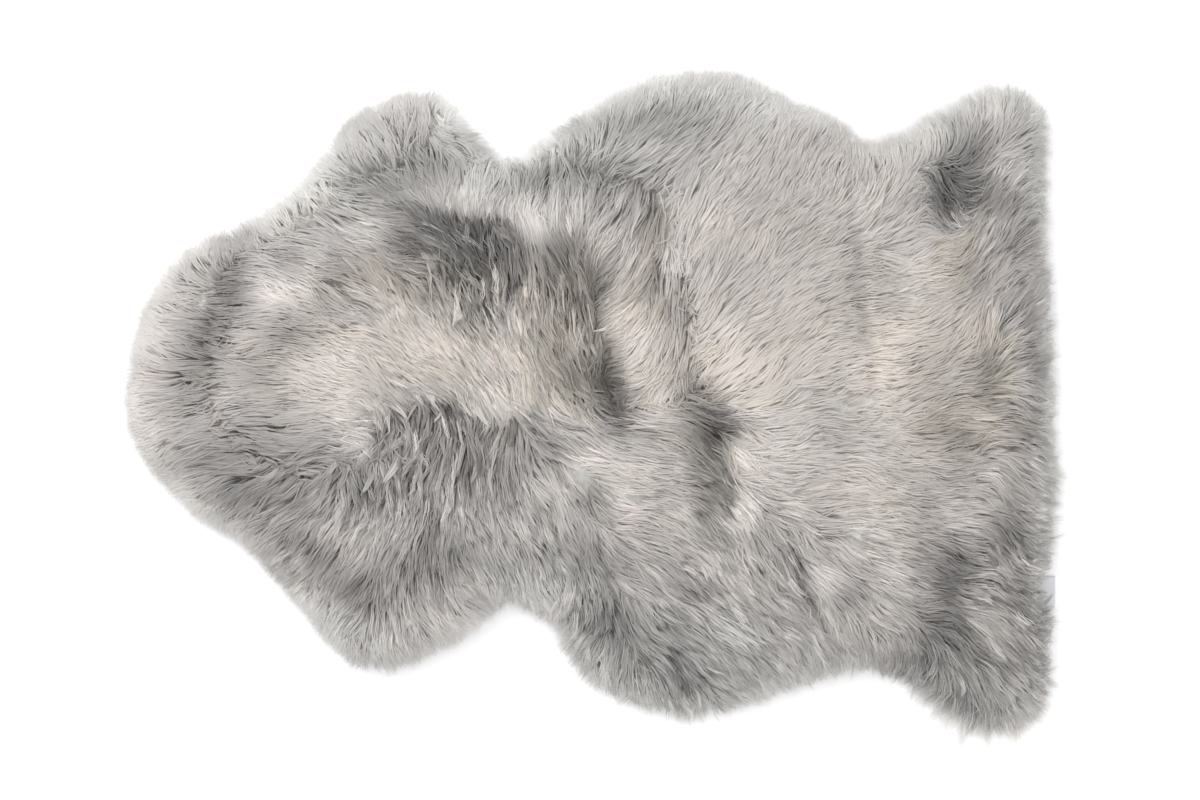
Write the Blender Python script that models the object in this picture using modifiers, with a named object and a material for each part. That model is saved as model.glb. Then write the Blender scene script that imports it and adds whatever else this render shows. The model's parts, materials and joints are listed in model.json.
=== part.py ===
"""A single sheepskin rug: a flat tanned hide, the fleece that stands on it, and a blank label sewn to its edge.

Metres. +X runs from the neck to the rump, +Y to the far flank, +Z up from the floor.
"""

import math

import bmesh
import bpy
import numpy as np

# Driving dimensions
LENGTH = 1.000  # neck to rump, with the wool's reach
WIDTH = 0.710  # across the hind legs, with the wool's reach
HIDE_THICKNESS = 0.0025
OVERHANG = 0.024  # how far the wool reaches past the hide's edge
PILE_TOP = 0.050  # the wool's usual height above the floor
PILE_SHOULDER = 0.060  # the width of the band where the wool falls away to its rim
CLEARANCE = 0.0003  # between one piece and the next

# The wool's rim, from its widest line down and in to the underside: height, inset
RIM_HEIGHT = 0.015
RIM = (
    (0.0065, 0.003),
    (HIDE_THICKNESS + CLEARANCE, 0.010),
)

# Mesh cells of the fleece
CELLS_ALONG = 58
CELLS_ACROSS = 42
EDGE_CROWDING = 0.45  # 0 is even cells, 1 is cells that close up fully towards the rim

# The label, a ribbon folded once
LABEL_WIDTH = 0.033
LABEL_ACROSS = -0.573  # its place on the rump edge, as a share of half the width
LABEL_REACH = 0.027
LABEL_SHEET = 0.0005
LABEL_FOLD_RADIUS = 0.0005
LABEL_FOLD_STEPS = 8

# The outline, as shares of half the length and half the width: along, across.
# Each side starts at one corner and stops short of the next, counter-clockwise seen from above.
SIDES = {
    "near": (
        (-0.918, -0.244),  # corner of the neck
        (-0.843, -0.356),
        (-0.746, -0.431),
        (-0.622, -0.628),
        (-0.564, -0.740),
        (-0.463, -0.815),  # foreleg
        (-0.328, -0.755),
        (-0.244, -0.682),
        (-0.199, -0.607),
        (-0.126, -0.634),  # bay behind the foreleg
        (-0.076, -0.682),
        (-0.057, -0.776),
        (0.035, -0.885),
        (0.220, -0.949),  # belly
        (0.414, -0.870),
        (0.592, -0.809),  # bay before the hind leg
        (0.680, -0.852),
        (0.789, -0.967),
        (0.865, -1.000),  # hind leg
    ),
    "rump": (
        (0.961, -0.936),  # corner of the hind leg
        (0.987, -0.688),
        (0.983, -0.349),
        (1.000, -0.234),  # tail tuft
        (0.989, -0.113),
        (0.987, 0.219),
        (0.970, 0.658),
        (0.974, 0.812),
    ),
    "far": (
        (0.961, 0.921),  # corner of the hind leg
        (0.865, 0.961),  # hind leg
        (0.757, 0.894),
        (0.618, 0.788),  # bay before the hind leg
        (0.562, 0.797),
        (0.515, 0.864),
        (0.422, 0.915),
        (0.332, 0.985),
        (0.209, 1.000),  # belly
        (0.093, 0.967),
        (-0.066, 0.834),
        (-0.164, 0.749),  # bay behind the foreleg
        (-0.231, 0.764),
        (-0.259, 0.864),
        (-0.371, 0.946),  # foreleg
        (-0.527, 0.849),
        (-0.613, 0.685),
        (-0.710, 0.573),
    ),
    "neck": (
        (-0.871, 0.461),  # corner of the neck
        (-0.933, 0.362),
        (-0.979, 0.213),
        (-1.000, 0.008),
        (-0.981, -0.129),
    ),
}
STEPS_PER_SPAN = 10
INSET_HALVINGS = 14

# Partings and hollows in the wool: depth, half width, then the line as (along, across) shares
TROUGHS = (
    (0.016, 0.030, ((-0.414, 0.546), (-0.285, 0.492), (-0.156, 0.477), (-0.016, 0.386))),  # shoulder hollow
    (0.014, 0.020, ((-0.010, 0.330), (0.023, 0.174), (0.042, 0.023))),  # back parting
    (0.010, 0.020, ((-0.482, 0.038), (-0.446, -0.113), (-0.349, -0.040), (-0.124, -0.048))),  # saddle ledge
    (0.010, 0.021, ((0.113, 0.567), (0.134, 0.310), (0.209, 0.098), (0.270, -0.083))),  # middle crease
    (0.009, 0.021, ((0.270, -0.083), (0.257, -0.265), (0.306, -0.371))),  # middle crease, towards the belly
    (0.010, 0.020, ((0.392, -0.416), (0.457, -0.598), (0.499, -0.764))),  # belly crease
    (0.013, 0.026, ((0.789, 0.688), (0.742, 0.567))),  # hind leg hollow, far side
    (0.010, 0.024, ((0.768, -0.431), (0.757, -0.598), (0.764, -0.764))),  # hind leg valley, near side
    (0.006, 0.026, ((-0.768, 0.401), (-0.826, 0.204), (-0.854, 0.008))),  # neck band
    (0.009, 0.020, ((-0.628, -0.440), (-0.532, -0.531), (-0.446, -0.613))),  # foreleg parting
    (0.007, 0.030, ((-0.081, 0.719), (0.090, 0.664))),  # flank hollow
)

# Swells of thicker wool: rise, reach, then the middle as (along, across) shares
SWELLS = (
    (0.006, 0.085, (-0.349, 0.170)),  # shoulders
    (0.005, 0.055, (-0.080, 0.610)),  # behind the shoulder hollow
    (0.004, 0.120, (0.360, 0.230)),  # loin
    (0.005, 0.080, (0.130, -0.260)),  # belly side of the back
    (0.004, 0.070, (-0.640, 0.150)),  # neck
    (0.004, 0.110, (0.700, -0.120)),  # rump
    (0.004, 0.080, (-0.250, -0.300)),  # below the ledge
)

# Materials: colour, roughness
FINISHES = {
    "wool": ((0.50, 0.48, 0.45), 0.95),
    "tanned_hide": ((0.66, 0.57, 0.45), 0.85),
    "label_ribbon": ((0.86, 0.86, 0.84), 0.55),
}


def metres(shares):
    """Places given as shares of half the length and half the width."""
    return np.asarray(shares, float) * (LENGTH / 2, WIDTH / 2)


def smooth_spans(points):
    """A closed smooth line through the points, one short run of places for each of them."""
    share = np.linspace(0, 1, STEPS_PER_SPAN, endpoint=False)[:, None]
    before, after, beyond = (np.roll(points, shift, axis=0) for shift in (1, -1, -2))
    spans = []
    for a, b, c, d in zip(before, points, after, beyond):
        bend = 2 * a - 5 * b + 4 * c - d
        twist = 3 * (b - c) + d - a
        spans.append(b + 0.5 * share * (c - a + share * (bend + share * twist)))
    return spans


def outline_sides():
    """The four sides of the outline as fine lines in metres, each ending where the next one starts."""
    points = metres([row for side in SIDES.values() for row in side])
    spans = smooth_spans(points)
    every = np.vstack(spans)
    middle = (every.max(axis=0) + every.min(axis=0)) / 2
    growth = np.array((LENGTH, WIDTH)) / (every.max(axis=0) - every.min(axis=0))
    sides = {}
    first = 0
    for name, rows in SIDES.items():
        last = first + len(rows)
        end = spans[last % len(spans)][:1]
        sides[name] = (np.vstack([*spans[first:last], end]) - middle) * growth
        first = last
    return sides


def closed_outline(sides):
    outline = np.vstack([line[:-1] for line in sides.values()])
    return np.vstack([outline, outline[:1]])


def along_line(line, share):
    """The place at a share of the line's own length."""
    steps = np.linalg.norm(np.diff(line, axis=0), axis=1)
    travelled = np.concatenate([[0], np.cumsum(steps)]) / steps.sum()
    return np.array([np.interp(share, travelled, line[:, axis]) for axis in (0, 1)])


def pelt_place(sides, u, v):
    """The place on the pelt at u from neck to rump and v from the near side to the far one."""
    near = along_line(sides["near"], u)
    far = along_line(sides["far"], 1 - u)
    rump = along_line(sides["rump"], v)
    neck = along_line(sides["neck"], 1 - v)
    corners = (
        (1 - u) * (1 - v) * sides["near"][0]
        + u * (1 - v) * sides["rump"][0]
        + u * v * sides["far"][0]
        + (1 - u) * v * sides["neck"][0]
    )
    return (1 - v) * near + v * far + (1 - u) * neck + u * rump - corners


def distance_to_line(place, line):
    """The shortest distance from a place to a line of straight steps."""
    starts, steps = line[:-1], np.diff(line, axis=0)
    lengths = np.maximum((steps**2).sum(axis=1), 1e-12)
    share = np.clip(((place - starts) * steps).sum(axis=1) / lengths, 0, 1)
    return np.linalg.norm(starts + share[:, None] * steps - place, axis=1).min()


def drawn_in(sides, u, v, inset):
    """The place reached from the rim at u, v by going inwards until the outline is an inset away."""
    outline = closed_outline(sides)
    nearest, furthest = 0, 0.5
    for _ in range(INSET_HALVINGS):
        inward = (nearest + furthest) / 2
        place = pelt_place(sides, u + inward * (0.5 - u), v + inward * (0.5 - v))
        if distance_to_line(place, outline) < inset:
            nearest = inward
        else:
            furthest = inward
    return place


def crowded(share):
    """An even share moved towards the nearer end, so that cells are smaller at the rim."""
    eased = (1 - math.cos(math.pi * share)) / 2
    return share + EDGE_CROWDING * (eased - share)


def pile_height(place, edge_distance):
    """How high the wool stands at a place."""
    top = PILE_TOP
    for rise, reach, middle in SWELLS:
        away = np.linalg.norm(place - metres(middle)) / reach
        top += rise * math.exp(-(away**2))
    for depth, half_width, line in TROUGHS:
        away = distance_to_line(place, metres(line)) / half_width
        top -= depth * math.exp(-(away**2))
    inward = min(edge_distance / PILE_SHOULDER, 1)
    fullness = math.sqrt(1 - (1 - inward) ** 2)
    return RIM_HEIGHT + (top - RIM_HEIGHT) * fullness


def make_finish(name):
    colour, roughness = FINISHES[name]
    finish = bpy.data.materials.new(name)
    finish.use_nodes = True
    shader = finish.node_tree.nodes["Principled BSDF"]
    shader.inputs["Base Color"].default_value = (*colour, 1)
    shader.inputs["Roughness"].default_value = roughness
    shader.inputs["Metallic"].default_value = 0
    return finish


def add_piece(name, data, finish, collection):
    data.materials.append(make_finish(finish))
    piece = bpy.data.objects.new(name, data)
    collection.objects.link(piece)
    return piece


def make_hide(sides, collection):
    """The tanned skin, a flat sheet on the floor with the outline of the whole pelt."""
    steps_along, steps_across = 46, 30
    corner_walk = (
        [(step / steps_along, 0) for step in range(steps_along)]
        + [(1, step / steps_across) for step in range(steps_across)]
        + [(1 - step / steps_along, 1) for step in range(steps_along)]
        + [(0, 1 - step / steps_across) for step in range(steps_across)]
    )
    outline = [drawn_in(sides, u, v, OVERHANG) for u, v in corner_walk]
    curve = bpy.data.curves.new("hide", "CURVE")
    curve.dimensions = "2D"
    curve.fill_mode = "BOTH"
    curve.extrude = HIDE_THICKNESS / 2
    spline = curve.splines.new("POLY")
    spline.points.add(len(outline) - 1)
    for point, (x, y) in zip(spline.points, outline):
        point.co = (x, y, 0, 1)
    spline.use_cyclic_u = True
    hide = add_piece("hide", curve, "tanned_hide", collection)
    hide.location.z = HIDE_THICKNESS / 2
    return outline


def make_fleece(sides, collection):
    """The standing wool: a domed top with its partings, a rim that rolls under, and a flat underside."""
    form = bmesh.new()
    bmesh.ops.create_grid(form, x_segments=CELLS_ALONG, y_segments=CELLS_ACROSS, size=0.5)
    for ring in range(1, len(RIM) + 1):
        edges = [edge for edge in form.edges if edge.is_boundary]
        extruded = bmesh.ops.extrude_edge_only(form, edges=edges)["geom"]
        for vert in extruded:
            if isinstance(vert, bmesh.types.BMVert):
                vert.co.z = -ring
    bmesh.ops.contextual_create(form, geom=[edge for edge in form.edges if edge.is_boundary])

    outline = closed_outline(sides)
    for vert in form.verts:
        u, v = crowded(vert.co.x + 0.5), crowded(vert.co.y + 0.5)
        ring = round(-vert.co.z)
        if ring:
            height, inset = RIM[ring - 1]
            place = drawn_in(sides, u, v, inset)
        else:
            place = pelt_place(sides, u, v)
            height = pile_height(place, distance_to_line(place, outline))
        vert.co = (*place, height)
    bmesh.ops.recalc_face_normals(form, faces=form.faces)

    mesh = bpy.data.meshes.new("fleece")
    form.to_mesh(mesh)
    form.free()
    mesh.shade_smooth()
    add_piece("fleece", mesh, "wool", collection)


def make_label(hide_outline, collection):
    """A blank ribbon folded once, lying flat where it is sewn to the hide's rump edge."""
    middle = LABEL_ACROSS * WIDTH / 2
    beside = [x for x, y in hide_outline if x > 0 and abs(y - middle) < LABEL_WIDTH]
    start = max(beside) + CLEARANCE
    turn = start + LABEL_REACH - LABEL_FOLD_RADIUS - LABEL_SHEET / 2
    low = LABEL_SHEET / 2
    high = low + 2 * LABEL_FOLD_RADIUS
    fold = [(start, low)]
    for step in range(LABEL_FOLD_STEPS + 1):
        angle = math.pi * (step / LABEL_FOLD_STEPS - 0.5)
        across, up = math.cos(angle), math.sin(angle)
        fold.append((turn + LABEL_FOLD_RADIUS * across, low + LABEL_FOLD_RADIUS * (1 + up)))
    fold.append((start, high))

    strip = bmesh.new()
    verts = [strip.verts.new((x, middle - LABEL_WIDTH / 2, z)) for x, z in fold]
    edges = [strip.edges.new(pair) for pair in zip(verts, verts[1:])]
    extruded = bmesh.ops.extrude_edge_only(strip, edges=edges)["geom"]
    for vert in extruded:
        if isinstance(vert, bmesh.types.BMVert):
            vert.co.y += LABEL_WIDTH
    mesh = bpy.data.meshes.new("label")
    strip.to_mesh(mesh)
    strip.free()
    label = add_piece("label", mesh, "label_ribbon", collection)
    sheet = label.modifiers.new("ribbon thickness", "SOLIDIFY")
    sheet.thickness = LABEL_SHEET
    sheet.offset = 0


def clear_scene():
    for thing in list(bpy.data.objects):
        bpy.data.objects.remove(thing, do_unlink=True)


def main():
    clear_scene()
    collection = bpy.data.collections.new("sheepskin rug")
    bpy.context.scene.collection.children.link(collection)
    sides = outline_sides()
    hide_outline = make_hide(sides, collection)
    make_fleece(sides, collection)
    make_label(hide_outline, collection)


main()
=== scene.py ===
import json
import math

import bmesh
import bpy
import numpy as np
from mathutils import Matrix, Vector, noise
from mathutils.bvhtree import BVHTree
from mathutils.kdtree import KDTree

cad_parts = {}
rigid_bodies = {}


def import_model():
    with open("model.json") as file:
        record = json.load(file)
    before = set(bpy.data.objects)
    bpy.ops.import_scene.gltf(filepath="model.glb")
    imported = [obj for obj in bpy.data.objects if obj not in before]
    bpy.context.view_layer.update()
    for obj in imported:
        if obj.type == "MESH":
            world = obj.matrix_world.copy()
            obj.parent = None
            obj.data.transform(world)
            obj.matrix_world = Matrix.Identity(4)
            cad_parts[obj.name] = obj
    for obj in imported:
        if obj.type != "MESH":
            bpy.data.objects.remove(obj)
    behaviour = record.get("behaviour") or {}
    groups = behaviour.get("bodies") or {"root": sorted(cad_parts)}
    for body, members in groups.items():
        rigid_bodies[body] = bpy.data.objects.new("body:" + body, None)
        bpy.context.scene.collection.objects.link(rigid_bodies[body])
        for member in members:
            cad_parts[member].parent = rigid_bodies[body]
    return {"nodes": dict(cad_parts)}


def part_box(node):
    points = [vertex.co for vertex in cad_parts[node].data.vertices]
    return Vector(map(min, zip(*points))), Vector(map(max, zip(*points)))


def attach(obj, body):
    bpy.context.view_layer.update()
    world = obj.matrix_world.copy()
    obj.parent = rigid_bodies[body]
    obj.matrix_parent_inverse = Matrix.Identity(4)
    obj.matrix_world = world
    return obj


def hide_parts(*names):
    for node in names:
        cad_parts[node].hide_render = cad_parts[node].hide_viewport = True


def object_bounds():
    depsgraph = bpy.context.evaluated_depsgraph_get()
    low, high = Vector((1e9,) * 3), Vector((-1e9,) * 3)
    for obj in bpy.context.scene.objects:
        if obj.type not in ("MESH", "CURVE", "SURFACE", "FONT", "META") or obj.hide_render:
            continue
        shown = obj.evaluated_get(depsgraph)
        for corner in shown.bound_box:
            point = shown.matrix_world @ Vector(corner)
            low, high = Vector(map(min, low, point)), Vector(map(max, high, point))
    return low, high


for leftover in list(bpy.data.objects):
    bpy.data.objects.remove(leftover, do_unlink=True)
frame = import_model()
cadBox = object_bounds()
halfLength = (cadBox[1].x - cadBox[0].x) / 2
halfWidth = (cadBox[1].y - cadBox[0].y) / 2
halfSize = np.array((halfLength, halfWidth))  # places on the pelt are given below in hundredths of these two
print("frame loaded:", ", ".join(sorted(frame["nodes"])))


class Wire:
    # one output socket of a material, so that shader maths reads as plain arithmetic
    def __init__(self, finish, socket):
        self.finish = finish
        self.socket = socket

    def out(self, name):
        return Wire(self.finish, self.socket.node.outputs[name])

    def maths(self, operation, first, second):
        return self.finish.add("ShaderNodeMath", {"operation": operation}, {0: first, 1: second})

    def __add__(self, other):
        return self.maths("ADD", self, other)

    def __radd__(self, other):
        return self.maths("ADD", other, self)

    def __sub__(self, other):
        return self.maths("SUBTRACT", self, other)

    def __rsub__(self, other):
        return self.maths("SUBTRACT", other, self)

    def __mul__(self, other):
        return self.maths("MULTIPLY", self, other)

    def __rmul__(self, other):
        return self.maths("MULTIPLY", other, self)


class Finish:
    # one material with its Principled shader, and one method that adds any other node
    def __init__(self, name, constants):
        self.material = bpy.data.materials.new(name)
        self.material.use_nodes = True
        self.nodes = self.material.node_tree.nodes
        self.shader = self.nodes["Principled BSDF"]
        for socket, value in constants.items():
            self.shader.inputs[socket].default_value = value

    def feed(self, socket, value):
        if isinstance(value, Wire):
            self.material.node_tree.links.new(value.socket, socket)
        else:
            socket.default_value = value

    def add(self, kind, settings, inputs):
        node = self.nodes.new(kind)
        for key, value in settings.items():
            if key == "stops":
                while len(node.color_ramp.elements) < len(value):
                    node.color_ramp.elements.new(1)
                for element, (place, colour) in zip(node.color_ramp.elements, value):
                    element.position = place
                    element.color = (*colour, 1)
            else:
                setattr(node, key, value)
        for key, value in inputs.items():
            self.feed(node.inputs[key], value)
        return Wire(self, next(socket for socket in node.outputs if socket.enabled))

    def ramp(self, value, stops):
        return self.add("ShaderNodeValToRGB", {"stops": stops}, {"Fac": value})

    def times(self, first, second):
        settings = {"data_type": "RGBA", "blend_type": "MULTIPLY"}
        return self.add("ShaderNodeMix", settings, {"Factor": 1.0, "A": first, "B": second})

    def bump(self, height, distance, strength):
        inputs = {"Height": height, "Distance": distance, "Strength": strength}
        return self.add("ShaderNodeBump", {}, inputs)

    def noise(self, place, scale, detail):
        return self.add("ShaderNodeTexNoise", {}, {"Vector": place, "Scale": scale, "Detail": detail})

    def place(self):
        return self.add("ShaderNodeTexCoord", {}, {}).out("Object")

    def wear(self, inputs):
        for socket, value in inputs.items():
            self.feed(self.shader.inputs[socket], value)
        return self.material


def meshFrom(shape, name):
    mesh = bpy.data.meshes.new(name)
    shape.to_mesh(mesh)
    shape.free()
    return mesh


def show(name, data):
    thing = bpy.data.objects.new(name, data)
    bpy.context.scene.collection.objects.link(thing)
    return thing


def thicken(piece, thickness, offset):
    modifier = piece.modifiers.new("thickness", "SOLIDIFY")
    modifier.thickness = thickness
    modifier.offset = offset


# what is known of the ground under the rug is kept on one square grid and read between its points
ground = {"cell": 0.005, "halfX": 0.56, "halfY": 0.42}
alongs = np.arange(-ground["halfX"], ground["halfX"] + ground["cell"] / 2, ground["cell"])
acrosses = np.arange(-ground["halfY"], ground["halfY"] + ground["cell"] / 2, ground["cell"])
gridX, gridY = np.meshgrid(alongs, acrosses, indexing="ij")
spots = np.stack((gridX.ravel(), gridY.ravel()), axis=1)
corner = spots[0]


def readBetween(values, steps):
    # values on a square grid, at places given in grid steps from its corner
    most = np.array(values.shape[:2]) - 1.001
    steps = np.clip(steps, 0, most)
    whole = steps.astype(int)
    share = (steps - whole)[..., None]
    i, j = whole[..., 0], whole[..., 1]
    near = values[i, j] * (1 - share[..., 0, :]) + values[i + 1, j] * share[..., 0, :]
    far = values[i, j + 1] * (1 - share[..., 0, :]) + values[i + 1, j + 1] * share[..., 0, :]
    return near * (1 - share[..., 1, :]) + far * share[..., 1, :]


class Field:
    # numbers over the ground: one, or a direction, for each place
    def __init__(self, values):
        self.values = np.asarray(values, dtype=float).reshape(len(alongs), len(acrosses), -1)

    def at(self, places):
        found = readBetween(self.values, (places - corner) / ground["cell"])
        return found[..., 0] if found.shape[-1] == 1 else found


def unevenness(size, seed):
    # a smooth field from -1 to 1, with patches of about that size in metres
    draw = np.random.default_rng(seed)
    counts = (int(2 * ground["halfX"] / size) + 3, int(2 * ground["halfY"] / size) + 3)
    coarse = draw.uniform(-1, 1, (*counts, 1))
    steps = (spots - corner) / size
    whole = np.floor(steps)
    share = steps - whole
    return Field(readBetween(coarse, whole + share * share * (3 - 2 * share)))


def outlineOf(node):
    # the edge of a CAD piece seen from above, as the two ends of each of its straight stretches
    shape = bmesh.new()
    shape.from_mesh(frame["nodes"][node].data)
    bmesh.ops.remove_doubles(shape, verts=shape.verts, dist=1e-6)
    shape.normal_update()
    stretches = []
    for edge in shape.edges:
        facesUp = [face.normal.z > 0.01 for face in edge.link_faces]
        if len(facesUp) == 2 and facesUp[0] != facesUp[1]:
            stretches.append([vert.co.xy[:] for vert in edge.verts])
    shape.free()
    return np.array(stretches)


def offsetsFrom(start, end, places):
    # how far each place lies from the nearest point of a straight stretch, along x and along y
    way = end - start
    share = np.clip((places - start) @ way / (way @ way), 0, 1)
    return (places - start - share[:, None] * way).T


def distanceTo(stretches):
    # the distance from each grid point to the nearest of some straight stretches
    nearest = np.full(len(spots), 9.0)
    for start, end in stretches:
        nearest = np.minimum(nearest, np.hypot(*offsetsFrom(start, end, spots)))
    return nearest


def reachInside(stretches):
    # the distance from each grid point to an outline, below zero outside it
    nearest = distanceTo(stretches)
    inside = np.zeros(len(spots), dtype=bool)
    for start, end in stretches:
        way = end - start
        spans = (start[1] > spots[:, 1]) != (end[1] > spots[:, 1])
        if way[1]:
            inside ^= spans & (spots[:, 0] < start[0] + (spots[:, 1] - start[1]) * way[0] / way[1])
    return np.where(inside, nearest, -nearest)


def nearness(gap, reach):
    # 1 without a gap, and next to nothing at twice that reach
    return np.exp(-(gap / reach) ** 2)


def unit(ways):
    return ways / (np.linalg.norm(ways, axis=-1)[..., None] + 1e-9)


def leftOf(ways):
    return np.stack((-ways[..., 1], ways[..., 0]), axis=-1)


def raised(places, heights):
    return np.concatenate((places, heights[..., None]), axis=-1)


def surfaceHeight(node, outside):
    # the height of a CAD piece's top at each grid point
    shape = frame["nodes"][node].data
    tree = BVHTree.FromPolygons([v.co for v in shape.vertices], [p.vertices for p in shape.polygons])
    heights = np.full(len(spots), outside)
    for index, (x, y) in enumerate(spots):
        hit = tree.ray_cast(Vector((x, y, 1)), Vector((0, 0, -1)))[0]
        if hit:
            heights[index] = hit.z
    return heights


woolEdge = outlineOf("fleece")
hideEdge = outlineOf("hide")
fromWoolEdge = reachInside(woolEdge)
rimDistance = Field(fromWoolEdge)
hideDistance = Field(reachInside(hideEdge))
slopes = np.gradient(fromWoolEdge.reshape(len(alongs), len(acrosses)), ground["cell"])
outwards = -np.stack([slope.ravel() for slope in slopes], axis=1)
topHeight = Field(surfaceHeight("fleece", 0.012))
print("ground read:", len(woolEdge), "and", len(hideEdge), "stretches of outline")


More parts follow.
